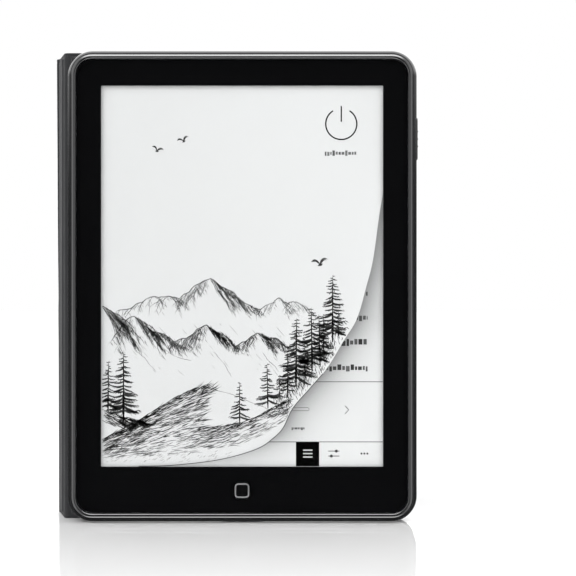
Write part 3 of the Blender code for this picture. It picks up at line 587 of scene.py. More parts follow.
def folio_line(s, bulge):
    """The folio's middle line at rest: (places, directions) for distances s along it.

    It runs along the back panel, round the root crease, up the spine, round the outer crease, whose
    loop stands out further where bulge is larger, and along the cover to its free edge."""
    s, bulge = np.broadcast_arrays(np.asarray(s, float), np.asarray(bulge, float))
    place = np.zeros(s.shape + (2,))
    way = np.zeros(s.shape + (2,))
    back = s <= S_ROOT
    place[back] = np.stack([BACK_END - s[back], np.full(back.sum(), BACK_MID)], -1)
    way[back] = (-1.0, 0.0)

    bend = (s > S_ROOT) & (s <= S_ROOT_END)
    angle = -(s[bend] - S_ROOT) / ROOT_BEND
    centre = np.array([ROOT_CORNER[0] + ROOT_REACH, BACK_MID + ROOT_BEND])
    spoke = np.stack([np.sin(angle), -np.cos(angle)], -1) * ROOT_BEND
    place[bend] = centre + spoke
    way[bend] = np.stack([-np.cos(angle), -np.sin(angle)], -1)

    spine = (s > S_ROOT_END) & (s <= S_OUTER)
    place[spine] = ROOT + (SPINE_FROM + s[spine] - S_ROOT_END)[:, None] * ALONG_SPINE
    way[spine] = ALONG_SPINE

    loop = (s > S_OUTER) & (s < S_OUTER_END)
    part = ((s[loop] - S_OUTER) / OUTER_NOMINAL)[:, None]
    reach = bulge[loop][:, None]
    p0 = OUTER - OUTER_BEFORE * ALONG_SPINE
    p3 = OUTER + OUTER_AFTER * ALONG_COVER
    p1, p2 = p0 + reach * ALONG_SPINE, p3 - reach * ALONG_COVER
    rest = 1 - part
    place[loop] = rest**3 * p0 + 3 * rest**2 * part * p1 + 3 * rest * part**2 * p2 + part**3 * p3
    slope = rest**2 * (p1 - p0) + 2 * rest * part * (p2 - p1) + part**2 * (p3 - p2)
    way[loop] = slope / np.linalg.norm(slope, axis=1, keepdims=True)

    cover = s >= S_OUTER_END
    place[cover] = OUTER + (OUTER_AFTER + s[cover] - S_OUTER_END)[:, None] * ALONG_COVER
    way[cover] = ALONG_COVER
    return place, way


def edge_distance(s, z):
    """How far inside the folio's rounded outline a point lies, free ends, top and bottom."""
    across = np.minimum(s, S_END - s)
    up = np.minimum(z, FOLIO_HEIGHT - z)
    corner = (across < FOLIO_CORNER) & (up < FOLIO_CORNER)
    round_part = FOLIO_CORNER - np.hypot(FOLIO_CORNER - across, FOLIO_CORNER - up)
    return np.where(corner, round_part, np.minimum(across, up))


def end_inset(z):
    """How far the free end is cut back at height z by the rounded corner."""
    up = np.minimum(z, FOLIO_HEIGHT - z)
    depth = np.clip(FOLIO_CORNER - up, 0, FOLIO_CORNER)
    return FOLIO_CORNER - np.sqrt(FOLIO_CORNER**2 - depth**2)


def boarded(s, soft):
    """1 over the stiff boards and 0 in the creases, with edges that soften over a short way."""
    def passed(edge):
        return smooth(s, edge - soft, edge + soft)

    spine_start = S_ROOT_END + SPINE_GAPS[0] - SPINE_FROM
    spine_end = S_ROOT_END + SPINE_WIDTH - SPINE_GAPS[1] - SPINE_FROM
    spine = passed(spine_start) * (1 - passed(spine_end))
    return 1 - passed(S_ROOT - BACK_GAP) + spine + passed(S_OUTER_END + COVER_GAP - OUTER_AFTER)


EDGE_STEPS = [0.0, 0.04, 0.1, 0.18, 0.3, 0.5, 0.8, 1.1, 1.25, 1.4, 1.55, 1.7, 1.9, 2.2, 3.0]


def spread(start, end, pitch):
    count = max(1, int(round((end - start) / pitch)))
    return [start + (end - start) * step / count for step in range(count)]


def heights(pitch, corner_pitch):
    """Row heights: close together along the top and bottom edges."""
    low = EDGE_STEPS[:-1] + spread(EDGE_STEPS[-2] + corner_pitch, FOLIO_CORNER + 1, corner_pitch)
    middle = spread(low[-1] + pitch, FOLIO_HEIGHT - low[-1], pitch)
    return np.array(low + middle + [FOLIO_HEIGHT - z for z in reversed(low)])


def quads(rows, columns, base=0):
    """The faces of a grid of points, row after row."""
    return [
        (a, a + 1, a + columns + 1, a + columns)
        for row in range(rows - 1) for a in range(base + row * columns, base + (row + 1) * columns - 1)
    ]


def skin(name, side, columns, rows, outer, inner, relief, finish, slot, seed, free_end):
    """One closed skin of the folio over columns s and rows z.

    side is 1 for the leather's side and -1 for the lining's. outer and inner give its faces' heights
    above the middle line as (in a crease, over a board); relief adds surface shape to the outer face."""
    s, z = np.meshgrid(np.asarray(columns), rows)
    if free_end == "back":
        share = np.clip(1 - s / END_TAPER, 0, 1)
        s = s + share * end_inset(z)
    elif free_end == "cover":
        share = np.clip(1 - (S_END - s) / END_TAPER, 0, 1)
        s = s - share * end_inset(z)
    inside = edge_distance(s, z) if free_end else np.minimum(z, FOLIO_HEIGHT - z)
    inside = np.maximum(inside, 0)
    bulge = 3.45 + 1.75 * (z / FOLIO_HEIGHT) ** 1.3
    place, way = folio_line(s, bulge)
    normal = np.stack([way[..., 1], -way[..., 0]], -1) * side

    border_out = smooth(inside, 1.2, 1.95)
    border_in = smooth(inside, 1.0, 1.5)
    high = outer[0] + (outer[1](s) - outer[0]) * border_out * boarded(s, 0.45)
    low = inner[0] + (inner[1](s) - inner[0]) * border_in * boarded(s, 0.2)
    brim = np.clip(1 - inside / EDGE_ROUND, 0, 1)
    high = high - EDGE_DROP * (1 - np.sqrt(np.clip(1 - brim**2, 0, 1)))
    groove = np.exp(-(((inside - BORDER) / GROOVE_WIDTH) ** 2))
    high = high - GROOVE_DEPTH * groove
    high = high + relief(s, z, inside, seed)

    outside = place + normal * high[..., None]
    step = max(1, len(rows) // 60)
    kept = sorted(set(range(0, len(rows), step)) | {len(rows) - 1})
    hidden = (place + normal * low[..., None])[kept]
    count_z, count_s = s.shape
    points = np.concatenate([
        np.stack([outside[..., 0], outside[..., 1], z], -1).reshape(-1, 3),
        np.stack([hidden[..., 0], hidden[..., 1], z[kept]], -1).reshape(-1, 3),
    ])
    flat = np.concatenate([
        np.stack([s, z], -1).reshape(-1, 2),
        np.stack([s[kept], z[kept]], -1).reshape(-1, 2),
    ])
    base = count_z * count_s
    faces = quads(count_z, count_s)
    faces += [(a, d, c, b) for a, b, c, d in quads(len(kept), count_s, base)]
    last = base + (len(kept) - 1) * count_s
    for j in range(count_s - 1):
        faces.append((j + 1, j, base + j, base + j + 1))
        top = (count_z - 1) * count_s + j
        faces.append((top, top + 1, last + j + 1, last + j))
    for i in range(len(kept) - 1):
        for j, order in ((0, 1), (count_s - 1, -1)):
            run = [row * count_s + j for row in range(kept[i], kept[i + 1] + 1)]
            back_edge = [base + (i + 1) * count_s + j, base + i * count_s + j]
            faces.append(tuple((run + back_edge)[::order]))
    made = mesh_piece(name, points, faces, finish, slot, sharp=50.0)
    layer = made.data.uv_layers.new(name="flat")
    corners = np.empty(len(made.data.loops), dtype=np.int32)
    made.data.loops.foreach_get("vertex_index", corners)
    layer.data.foreach_set("uv", (flat[corners] * 0.01).astype(np.float32).ravel())
    turned_out(made.name)
    smoothed(made.data, 50.0)
    return made


def ribs(s, z, inside, seed):
    """Fine uneven ribs that run across the panels and fade in the creases and at the border."""
    drift = 1.6 * grid_noise(s / 21.0, z / 9.0, seed) + 0.5 * grid_noise(s / 5.0, z / 4.0, seed + 1)
    ridge = 0.5 + 0.5 * np.cos(2 * math.pi * (z / RIB_PITCH + drift))
    second = 0.5 + 0.5 * np.cos(2 * math.pi * (z / FINE_RIB_PITCH - 1.7 * drift))
    broken = 0.35 + 0.65 * smooth(grid_noise(s / 7.0 + 40, z / 0.9, seed + 2), 0.2, 0.7)
    shape = (0.62 * ridge**1.4 + 0.38 * second) * broken
    return RIB_HEIGHT * (shape - 0.4) * smooth(inside, 0.2, 0.5) * (0.45 + 0.55 * boarded(s, 0.6))


def nap(s, z, inside, seed):
    """The slight waviness of glued microfibre."""
    wave = grid_noise(s / 9.0, z / 11.0, seed) + 0.4 * grid_noise(s / 3.0, z / 3.0, seed + 1)
    return 0.03 * (wave - 0.7) * smooth(inside, 0.0, 2.0)


def over_boards(back, rest):
    """A face's height over the back panel's board and over the other two, as a function of s."""
    return lambda s: np.where(s < S_ROOT + 0.5, back, rest)


def columns_for(parts):
    return [value for start, end, pitch in parts for value in spread(start, end, pitch)]


def make_folio():
    root_zone = (S_ROOT - 2.6, S_ROOT_END + 2.2)
    outer_zone = (S_OUTER - 1.6, S_OUTER_END + 1.6)
    free = EDGE_STEPS[:-1] + spread(3.0, 12.0, 1.5)
    back_columns = free + columns_for([
        (12.0, root_zone[0], 1.7), (root_zone[0], root_zone[1], 0.14), (root_zone[1], S_MID, 0.4)
    ]) + [S_MID]
    far = [S_END - value for value in reversed(free)]
    cover_columns = [S_MID] + columns_for([
        (S_MID + 0.4, outer_zone[0], 0.4), (outer_zone[0], outer_zone[1], 0.14), (outer_zone[1], far[0], 1.7)
    ]) + far
    lining_back = columns_for([
        (S_ROOT - LINING_TUCK, S_ROOT - 1.2, 0.5), (S_ROOT - 1.2, root_zone[1], 0.14),
        (root_zone[1], S_MID, 0.4)
    ]) + [S_MID]

    fine_rows, soft_rows = heights(0.24, 0.24), heights(1.4, 0.35)
    leather = dict(side=1, rows=fine_rows, outer=(0.52, over_boards(0.725, 1.0)),
                   inner=(0.02, over_boards(0.2, 0.45)), relief=ribs, finish=LEATHER, slot="ribbed_leather")
    grey = dict(side=-1, rows=soft_rows, outer=(0.5, over_boards(0.79, 1.0)),
                inner=(0.02, over_boards(0.735, 0.55)), relief=nap, finish=LINING, slot="grey_lining")
    back_leather = skin("folio_leather_back", columns=back_columns, seed=11, free_end="back", **leather)
    cover_leather = skin("folio_leather_cover", columns=cover_columns, seed=12, free_end="cover", **leather)
    back_lining = skin("folio_lining_spine", columns=lining_back, seed=21, free_end=None, **grey)
    cover_lining = skin("folio_lining_cover", columns=cover_columns, seed=22, free_end="cover", **grey)

    root_way, outer_way = (
        way / np.linalg.norm(way) for way in (ALONG_SPINE + (-1.0, 0.0), ALONG_SPINE + ALONG_COVER)
    )
    crossings = (
        (back_leather, "reader", "spine", ROOT, root_way, 0.95),
        (back_lining, "reader", "spine", ROOT, root_way, 1.3),
        (cover_leather, "spine", "cover", OUTER, outer_way, 0.7),
        (cover_lining, "spine", "cover", OUTER, outer_way, 1.25),
    )
    for made, first, second, axis, way, reach in crossings:
        ends = [world([*(axis + way * share * reach), MIDDLE]) for share in (-1, 1)]
        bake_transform(made)
    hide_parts("back_leather", "spine_leather")
    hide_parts("cover_leather")
    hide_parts("spine_lining")
    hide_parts("cover_lining")


# ---- the display's picture
SCREEN_LEFT, SCREEN_BOTTOM = -45.3, 17.9
SCREEN_WIDE, SCREEN_HIGH = 90.6, 122.4
PANEL_FACE = local_box("eink_panel")[0][1]
UNDER_PAGE, UNDER_MARKS = PANEL_FACE - 0.008, PANEL_FACE - 0.014
TOP_PAGE, TOP_MARKS = PANEL_FACE - 0.022, PANEL_FACE - 0.029
WHITEST = 0.67

# The turned-up page's edge, from the right-hand side of the screen down to its lower edge.
CURL = [
    (90.6, 90.0), (90.5, 87.2), (89.4, 80.6), (87.4, 66.4), (85.3, 58.0), (82.3, 47.7), (78.1, 40.6),
    (72.6, 31.6), (67.1, 25.1), (61.6, 18.7), (58.6, 12.6), (55.7, 9.4), (50.0, 5.6), (38.2, 2.2),
    (23.0, 0.35), (12.0, 0.0),
]


def eased(points, count):
    """A smooth curve through points, as count places evenly spread along it."""
    points = np.asarray(points, float)
    along = np.concatenate([[0], np.cumsum(np.linalg.norm(np.diff(points, axis=0), axis=1))])
    ends = np.vstack([2 * points[0] - points[1], points, 2 * points[-1] - points[-2]])
    places = []
    for target in np.linspace(0, along[-1], count):
        k = min(int(np.searchsorted(along, target, "right")) - 1, len(points) - 2)
        t = (target - along[k]) / (along[k + 1] - along[k])
        a, b, c, d = ends[k:k + 4]
        places.append(0.5 * (2 * b + (c - a) * t + (2 * a - 5 * b + 4 * c - d) * t * t
                             + (3 * b - a - 3 * c + d) * t**3))
    return np.array(places)


CURL_LINE = eased(CURL, 240)
CURL_LINE[:, 0] = np.minimum(CURL_LINE[:, 0], SCREEN_WIDE)
CURL_LINE[:, 1] = np.maximum(CURL_LINE[:, 1], 0.0)


def page_end(v):
    """Where the top page ends at height v."""
    return np.interp(v, CURL_LINE[::-1, 1], CURL_LINE[::-1, 0], right=SCREEN_WIDE)


def from_curl(u, v):
    """Distance from the turned-up edge."""
    gaps = np.hypot(u[..., None] - CURL_LINE[:, 0], v[..., None] - CURL_LINE[:, 1])
    return gaps.min(-1)


def reflectance(tone):
    """A tone from 0 to 255 as the display shows it, as the share of light that it sends back."""
    return WHITEST * (np.asarray(tone, float) / 244.0) ** 2.2


def picture_piece(name, points, faces, tones, finish):
    """Flat faces whose points hold a tone each, from 0 to 255."""
    made = mesh_piece(name, points, faces, finish, "display_paper", "reader", sharp=180.0)
    colours = made.data.attributes.new("tone", "FLOAT_COLOR", "POINT")
    shares = reflectance(tones)
    shades = np.stack([shares, shares, shares * 1.004, np.ones_like(shares)], -1)
    colours.data.foreach_set("color", shades.ravel())


class Marks:
    """Flat shapes on the screen: strokes of a pen and plain fills, gathered into one mesh."""

    def __init__(self, depth, clipped):
        self.depth, self.clipped = depth, clipped
        self.points, self.faces, self.tones = [], [], []

    def shape(self, outline, tone):
        base = len(self.points)
        self.points += [(SCREEN_LEFT + u, self.depth, SCREEN_BOTTOM + v) for u, v in outline]
        self.tones += [tone] * len(outline)
        self.faces.append(tuple(range(base, base + len(outline))))

    def box(self, left, right, bottom, top, tone):
        self.shape([(left, bottom), (right, bottom), (right, top), (left, top)], tone)

    def stroke(self, line, width, tone, taper=True):
        """A line of ink, thin where the pen lands and lifts. It stops at the page's edge."""
        line = np.asarray(line, float)
        if self.clipped:
            u, v = line[:, 0], line[:, 1]
            out = (u > page_end(v) - 0.25) | (u < 0.1) | (v < 0.1)
            stop = int(np.argmax(out)) if out.any() else len(line)
            line = line[:stop]
        if len(line) < 2:
            return
        way = np.gradient(line, axis=0)
        length = np.linalg.norm(way, axis=1, keepdims=True)
        side = np.stack([-way[:, 1], way[:, 0]], -1) / np.maximum(length, 1e-6)
        press = np.ones(len(line))
        if taper:
            press = np.clip(np.sin(math.pi * np.linspace(0.12, 0.98, len(line))), 0.08, 1) ** 0.7
        reach = side * (width / 2 * press)[:, None]
        base, count = len(self.points), len(line)
        for row in (line + reach, line - reach):
            self.points += [(SCREEN_LEFT + u, self.depth, SCREEN_BOTTOM + v) for u, v in row]
        self.tones += [tone] * (2 * count)
        for k in range(count - 1):
            self.faces.append((base + k, base + k + 1, base + count + k + 1, base + count + k))

    def ring(self, centre, radius, stroke, tone, start=0, end=360, steps=12):
        self.stroke(arc(centre, (radius, radius), start, end, steps), stroke, tone, taper=False)

    def word(self, left, right, base, size, tone, rng):
        """A run of small plain blocks that stands for a word."""
        at = left
        while at < right - 0.25 * size:
            wide = min(size * rng.uniform(0.4, 0.8), right - at)
            tall = size * rng.choice((0.6, 0.6, 0.66, 0.92))
            drop = size * rng.choice((0.0, 0.0, 0.0, 0.24))
            self.box(at, at + wide - 0.12 * size, base - drop, base + tall, tone + rng.uniform(0, 45))
            at += wide + 0.04 * size

    def finish_as(self, name, finish):
        picture_piece(name, self.points, self.faces, self.tones, finish)


def wander(points, rough, rng, levels=5):
    """A broken, natural line through rough points."""
    line = [np.array(p, float) for p in points]
    for _ in range(levels):
        finer = []
        for a, b in zip(line, line[1:]):
            gap = float(np.linalg.norm(b - a))
            shift = np.array([rng.uniform(-0.25, 0.25), rng.uniform(-1, 1)]) * gap * rough
            finer += [a, (a + b) / 2 + shift]
        line = finer + [line[-1]]
        rough *= 0.85
    return np.array(line)


def sketch(marks, line, width, tone, rng, piece_length=7.0):
    """Goes along a line in short overlapping strokes, as a pen does."""
    steps = np.linalg.norm(np.diff(line, axis=0), axis=1)
    per = max(3, int(piece_length / max(steps.mean(), 1e-6)))
    at = 0
    while at < len(line) - 2:
        count = max(3, int(per * rng.uniform(0.5, 1.4)))
        wobble = np.array([rng.uniform(-0.12, 0.12), rng.uniform(-0.12, 0.12)])
        marks.stroke(line[at:at + count] + wobble, width * rng.uniform(0.7, 1.2), tone + rng.uniform(-15, 25))
        at += max(2, int(count * rng.uniform(0.75, 0.95)))


def curved_stroke(start, way, length, bend, rng, steps=6):
    """Points of one hand-drawn stroke: it bends a little and shakes a little."""
    angle = math.atan2(way[1], way[0])
    at, line = np.array(start, float), []
    for _ in range(steps + 1):
        line.append(at.copy())
        angle += bend / steps + rng.uniform(-0.07, 0.07)
        at = at + np.array([math.cos(angle), math.sin(angle)]) * length / steps
    return np.array(line)


def spur(marks, top, way, length, rng, tone, width, shade):
    """A rib of rock running down from a ridge, with hatching on its shaded side."""
    at, angle = np.array(top, float), math.atan2(way[1], way[0])
    line, steps = [at.copy()], max(4, int(length / 0.9))
    for _ in range(steps):
        angle += rng.uniform(-0.55, 0.55)
        angle += 0.4 * (math.atan2(way[1], way[0]) - angle)
        at = at + np.array([math.cos(angle), math.sin(angle)]) * length / steps
        line.append(at.copy())
    line = np.array(line)
    marks.stroke(line, width, tone)
    for place in line[:-1]:
        if rng.random() < shade:
            for _ in range(rng.choice((1, 2, 2, 3))):
                start = place + np.array([rng.uniform(0, 0.6), rng.uniform(-0.6, 0.4)])
                reach = length * rng.uniform(0.1, 0.3)
                hatch = curved_stroke(start, (0.55, -1.0), reach, rng.uniform(-0.3, 0.3), rng, 4)
                marks.stroke(hatch, width * 0.8, tone + rng.uniform(0, 50))


def mountain(marks, points, rough, rng, tone, width, depth, density, shade):
    """A ridge line with ribs running down from it, longer under its peaks."""
    line = wander(points, rough, rng)
    sketch(marks, line, width * 1.15, tone, rng)
    sketch(marks, line + np.array([0.1, -0.15]), width * 0.8, tone + 25, rng)
    low = min(p[1] for p in points)
    high = max(p[1] for p in points)
    ways = np.gradient(line, axis=0)
    spacing = max(1, int(len(line) * 0.9 / max(1, density)))
    for k in range(0, len(line), spacing):
        rise = (line[k][1] - low) / max(1e-6, high - low)
        slope = np.mean(ways[max(0, k - 6):k + 7], axis=0)
        lean = -0.5 if slope[1] > 0 else 0.75
        reach = depth * (0.3 + 0.75 * rise) * rng.uniform(0.5, 1.15)
        spur(marks, line[k], (lean + rng.uniform(-0.25, 0.25), -1.0), reach, rng,
             tone + rng.uniform(-10, 45), width * 0.85, shade if slope[1] <= 0 else shade * 0.45)


def pine(marks, u, base, height, rng, tone, width):
    """A conifer: a trunk, shaggy boughs that droop and get wider downwards, and needles under them."""
    lean = rng.uniform(-0.03, 0.03) * height
    trunk = np.array([(u + lean * t, base + height * t) for t in np.linspace(0, 1, 9)])
    marks.stroke(trunk[:5], 0.035 * height, tone)
    marks.stroke(trunk[3:], 0.02 * height, tone)
    levels = max(6, int(height / 1.15))
    for level in range(levels):
        part = (level + 0.4) / levels
        v = base + height * (1.0 - 0.86 * part)
        for side in (-1, 1):
            reach = height * (0.03 + 0.19 * part**0.9) * rng.uniform(0.6, 1.25)
            start = (u + lean * (1 - part), v + rng.uniform(-0.4, 0.4))
            bough = curved_stroke(start, (side, -0.75), reach, side * rng.uniform(0.35, 1.0), rng, 7)
            marks.stroke(bough, 0.17 * reach + width, tone + rng.uniform(25, 80))
            for place in bough[1:]:
                for _ in range(3):
                    drop = reach * rng.uniform(0.16, 0.36)
                    way = (side * rng.uniform(0.3, 1.3), -1.0)
                    start = place + np.array([rng.uniform(-0.2, 0.2), 0.15])
                    needle = curved_stroke(start, way, drop, side * 0.4, rng, 3)
                    marks.stroke(needle, width * rng.uniform(0.8, 1.5), tone + rng.uniform(0, 60))
    for _ in range(int(height)):
        start = (u + rng.uniform(-0.03, 0.03) * height, base + rng.uniform(0.12, 0.85) * height)
        way = (rng.choice((-1, 1)) * rng.uniform(0.2, 0.9), -1)
        marks.stroke(curved_stroke(start, way, 0.07 * height, 0.1, rng, 3), width * 1.6, tone)


def hillside(marks, crest, foot, rng, tone, width, count, lie):
    """Short strokes of grass between two lines, laid along the slope, denser under the crest."""
    for _ in range(count):
        part, down = rng.random(), rng.random() ** 1.35
        upper, lower = (line[int(part * (len(line) - 1))] for line in (crest, foot))
        start = upper * (1 - down) + lower * down
        length = rng.uniform(1.4, 4.6)
        line = curved_stroke(start, lie(part, down), length, rng.uniform(-0.45, 0.25), rng, 5)
        marks.stroke(line, width * rng.uniform(0.6, 1.35), tone + 75 * down + rng.uniform(-15, 40))


def bird(marks, u, v, size, turned, tone):
    """A gull far off: two bent wings and a short body."""
    wings = (
        [(-1.15, 0.35), (-0.75, 0.62), (-0.3, 0.4), (0.0, -0.05)],
        [(-0.95, 0.38), (-0.6, 0.45), (-0.25, 0.2), (0.0, -0.1)],
        [(0.0, -0.05), (0.25, 0.45), (0.7, 0.7), (1.2, 0.5)],
        [(0.0, -0.1), (0.35, 0.3), (0.7, 0.5), (1.0, 0.42)],
        [(-0.3, -0.28), (-0.05, -0.12), (0.15, -0.14), (0.42, 0.02)],
        [(-0.28, -0.24), (0.0, -0.2), (0.2, -0.22), (0.36, -0.02)],
    )
    c, s = math.cos(turned), math.sin(turned)
    for wing in wings:
        line = eased(np.array(wing) * size, 7)
        marks.stroke([(u + a * c - b * s, v + a * s + b * c) for a, b in line], 0.26 * size / 1.3, tone)


# The drawing's own outlines, in millimetres from the screen's lower left corner. Each ridge has its
# points, how rough it is, tone, pen, the length and number of its ribs, and how much of them is hatched.
THIN, MID, BOLD = 0.13, 0.17, 0.22
RIDGES = (
    ([(5, 50.0), (13, 52.8), (20, 54.6), (25, 54.0), (31, 58.6), (35, 60.6), (38.5, 57.6), (42, 56.4),
      (47, 52.2), (51, 50.4)], 0.15, 60, MID, 10.5, 60, 0.9),
    ([(49, 50.2), (53, 52.0), (57.2, 54.4), (60, 52.4), (63, 52.8), (68.5, 48.6)],
     0.14, 70, THIN, 6.5, 28, 0.7),
    ([(0.2, 51.6), (3.0, 50.2), (6.4, 46.0), (10.4, 48.4), (13, 45.4), (17, 43.4), (21, 42.0), (26, 38.6)],
     0.15, 45, MID, 14.0, 46, 0.85),
    ([(22.5, 39.6), (27, 41.2), (31, 44.4), (33.6, 45.6), (36, 43.6), (38.5, 42.8), (43, 38.4)],
     0.13, 30, MID, 9.0, 44, 0.95),
    ([(42.5, 38.4), (46.5, 40.4), (50.0, 43.0), (53, 41.6), (56, 41.4), (61, 38.0)],
     0.13, 35, MID, 7.5, 38, 0.95),
)
SPURS = (
    ((36, 37), (39.5, 33), (42, 28.5)), ((9, 40), (14, 35), (17.5, 30.5)),
    ((52, 36.5), (55, 33), (57, 30.6)), ((20, 38), (24, 35.4), (29, 33.8)),
)
CREST = [(0.2, 8.6), (9, 13.2), (17, 18.0), (24, 22.2), (30, 24.8), (34.5, 25.0), (42, 23.2), (49, 20.2),
         (56, 17.6)]
FOOT = [(0.2, 2.6), (10, 2.8), (20, 3.4), (30, 4.4), (40, 6.2), (50, 9.0), (58, 13.0)]
MID_SLOPE = [(0.2, 5.4), (8, 7.8), (17, 11.2), (26, 15.0), (32, 17.5)]
BANK = [(30, 12.6), (38, 12.8), (46, 14.4), (54, 18.2), (60, 21.4)]
SHORE = [(26, 5.6), (36, 5.6), (46, 7.6), (54, 11.4), (60, 15.6)]
LEFT_BANK = [(0.2, 18.6), (5, 16.6), (10, 15.4), (14, 14.2)]
LEFT_SHORE = [(0.2, 14.6), (5, 13.0), (9, 13.4), (13, 14.0)]
WOOD = (
    (53.6, 18.6, 14.4), (57.4, 20.6, 9.0), (60.0, 22.4, 14.6), (62.6, 25.6, 22.0), (65.6, 27.6, 14.0),
    (67.8, 30.6, 20.4), (70.4, 32.0, 17.0), (71.6, 36.0, 13.0), (74.4, 40.0, 21.4), (76.2, 41.0, 9.5),
)


def make_landscape(finish):
    rng = random.Random(41)
    marks = Marks(TOP_MARKS, clipped=True)
    for points, rough, *look in RIDGES:
        mountain(marks, points, rough, rng, *look)
    for _ in range(70):
        start = (rng.uniform(3, 66), rng.uniform(31, 46))
        line = curved_stroke(start, (0.7, -1), rng.uniform(0.8, 3.2), 0.2, rng, 4)
        marks.stroke(line, THIN * 0.8, rng.uniform(120, 190))
    for points in SPURS:
        sketch(marks, wander(points, 0.12, rng, 4), THIN, 95, rng, 4.0)

    crest, foot = eased(CREST, 220), eased(FOOT, 220)
    sketch(marks, crest[:150], BOLD, 30, rng, 6.0)
    sketch(marks, crest[145:], THIN, 60, rng, 6.0)
    middle = eased(MID_SLOPE, 150)
    hillside(marks, crest[:145], middle, rng, 30, MID, 620, lambda part, down: (1.0, 0.62 - 0.25 * down))
    hillside(marks, middle, foot[:130], rng, 60, MID, 330, lambda part, down: (1.0, 0.42 - 0.2 * down))
    bank, shore = eased(BANK, 120), eased(SHORE, 120)
    sketch(marks, bank, MID, 45, rng, 5.0)
    hillside(marks, bank, shore, rng, 40, MID, 380, lambda part, down: (1.0, 0.25 + 0.4 * part))
    left_bank, left_shore = eased(LEFT_BANK, 60), eased(LEFT_SHORE, 60)
    hillside(marks, left_bank, left_shore, rng, 30, BOLD, 150, lambda part, down: (1.0, -0.35))
    for _ in range(90):
        start = (rng.uniform(1, 44), rng.uniform(1.2, 4.6))
        line = curved_stroke(start, (1, 0.5), rng.uniform(0.6, 1.6), 0.2, rng, 3)
        marks.stroke(line, THIN, rng.uniform(110, 190))

    for u, base, height, tone in ((2.1, 17.2, 16.6, 45), (7.1, 14.6, 22.0, 35), (44.5, 13.6, 13.4, 35)):
        pine(marks, u, base, height, rng, tone, THIN)
    for u, base, height in WOOD:
        pine(marks, u, base, height, rng, rng.uniform(28, 48), THIN * 1.05)
    for _ in range(330):
        part = rng.random()
        start = (57 + 20 * part + rng.uniform(-2.5, 2.5), 21 + 21 * part + rng.uniform(-4, 3))
        line = curved_stroke(start, (rng.uniform(-0.4, 0.5), -1), rng.uniform(0.8, 2.6), 0.3, rng, 4)
        marks.stroke(line, MID, rng.uniform(30, 110))
    bird(marks, 17.9, 101.7, 1.65, -0.35, 60)
    bird(marks, 26.4, 104.8, 1.65, 0.3, 60)
    bird(marks, 70.3, 65.2, 2.3, 0.1, 75)

    marks.ring((77.2, 110.2), 5.0, 0.46, 30, 122, 418, 48)
    marks.box(76.98, 77.42, 110.9, 116.0, 30)
    marks.word(71.9, 82.2, 100.3, 1.5, 95, rng)
    marks.finish_as("screen_drawing", finish)

    edge = Marks(TOP_MARKS - 0.004, clipped=False)
    edge.stroke(CURL_LINE[CURL_LINE[:, 1] < 30], 0.22, 70, taper=False)
    edge.finish_as("screen_page_edge", finish)


def make_under_marks(finish):
    rng = random.Random(7)
    marks = Marks(UNDER_MARKS, clipped=False)
    marks.box(60.0, SCREEN_WIDE, 27.1, 27.32, 80)
    marks.box(50.0, SCREEN_WIDE, 7.75, 7.97, 60)
    marks.box(62.6, 70.1, 0.0, 7.9, 6)
    for level, knob in ((3.3, 74.0), (4.9, 75.6)):
        marks.box(73.0, 76.6, level - 0.13, level + 0.13, 80)
        marks.ring((knob, level), 0.3, 0.4, 80)
    for k in range(3):
        marks.ring((83.7 + 0.95 * k, 4.1), 0.17, 0.34, 80)
    marks.stroke([(78.4, 16.9), (79.6, 18.2), (78.4, 19.5)], 0.26, 70, taper=False)
    marks.stroke([(60.0, 17.9), (66.4, 17.9), (66.75, 18.1), (66.9, 18.4), (66.75, 18.7), (66.4, 18.9),
                  (60.0, 18.9)], 0.16, 110, taper=False)
    marks.word(61.2, 65.6, 11.9, 1.05, 70, rng)
    for base, left in ((54.9, 85.2), (47.2, 80.2), (39.2, 76.0), (31.0, 71.8)):
        marks.word(left, 85.9, base, 1.95, 60, rng)
    marks.finish_as("screen_page_marks", finish)
    bars = Marks(UNDER_MARKS - 0.004, clipped=False)
    for level in (3.0, 4.1, 5.2):
        bars.box(64.9, 67.9, level - 0.2, level + 0.2, 225)
    bars.finish_as("screen_menu_bars", finish)


def make_page(name, depth, rows, columns, left, right, shading, finish):
    """One sheet of the picture, in rows that run from left to right, toned by shading(u, v)."""
    u = left[:, None] + (right - left)[:, None] * np.linspace(0, 1, columns)
    v = np.repeat(rows[:, None], columns, 1)
    points = np.stack([SCREEN_LEFT + u, np.full(u.shape, depth), SCREEN_BOTTOM + v], -1).reshape(-1, 3)
    picture_piece(name, points, quads(len(rows), columns), shading(u, v).ravel(), finish)


def top_shading(u, v):
    near = from_curl(u, v)
    tones = 238.5 + 5.0 * smooth(u + v * 0.2, 20, 100) + 4.0 * np.exp(-near / 5.0)
    return tones - 26.0 * np.exp(-near / 0.5) * smooth(v, 20, 0)


def under_shading(u, v):
    near = from_curl(u, v) * np.where(u > page_end(v), 1, -1)
    depth = 92 * (0.4 + 0.6 * smooth(v, 0, 16))
    return 247 - depth * np.exp(-np.clip(near, 0, None) / 4.4) - 10 * smooth(v, 30, 80)


def make_display():
    finish = paper_finish("display_picture", "tone")
    low, middle, high = np.linspace(0, 10, 60), np.linspace(10, 91, 120), np.linspace(91, SCREEN_HIGH, 16)
    rows = np.concatenate([low, middle[1:], high[1:]])
    ends = page_end(rows)
    ends[0] = CURL[-1][0]
    make_page("screen_top_page", TOP_PAGE, rows, 60, np.zeros(len(rows)), ends, top_shading, finish)
    rows = np.linspace(0, 91, 150)
    starts, ends = np.maximum(page_end(rows) - 4, 0), np.full(len(rows), SCREEN_WIDE)
    make_page("screen_under_page", UNDER_PAGE, rows, 70, starts, ends, under_shading, finish)
    make_landscape(finish)
    make_under_marks(finish)


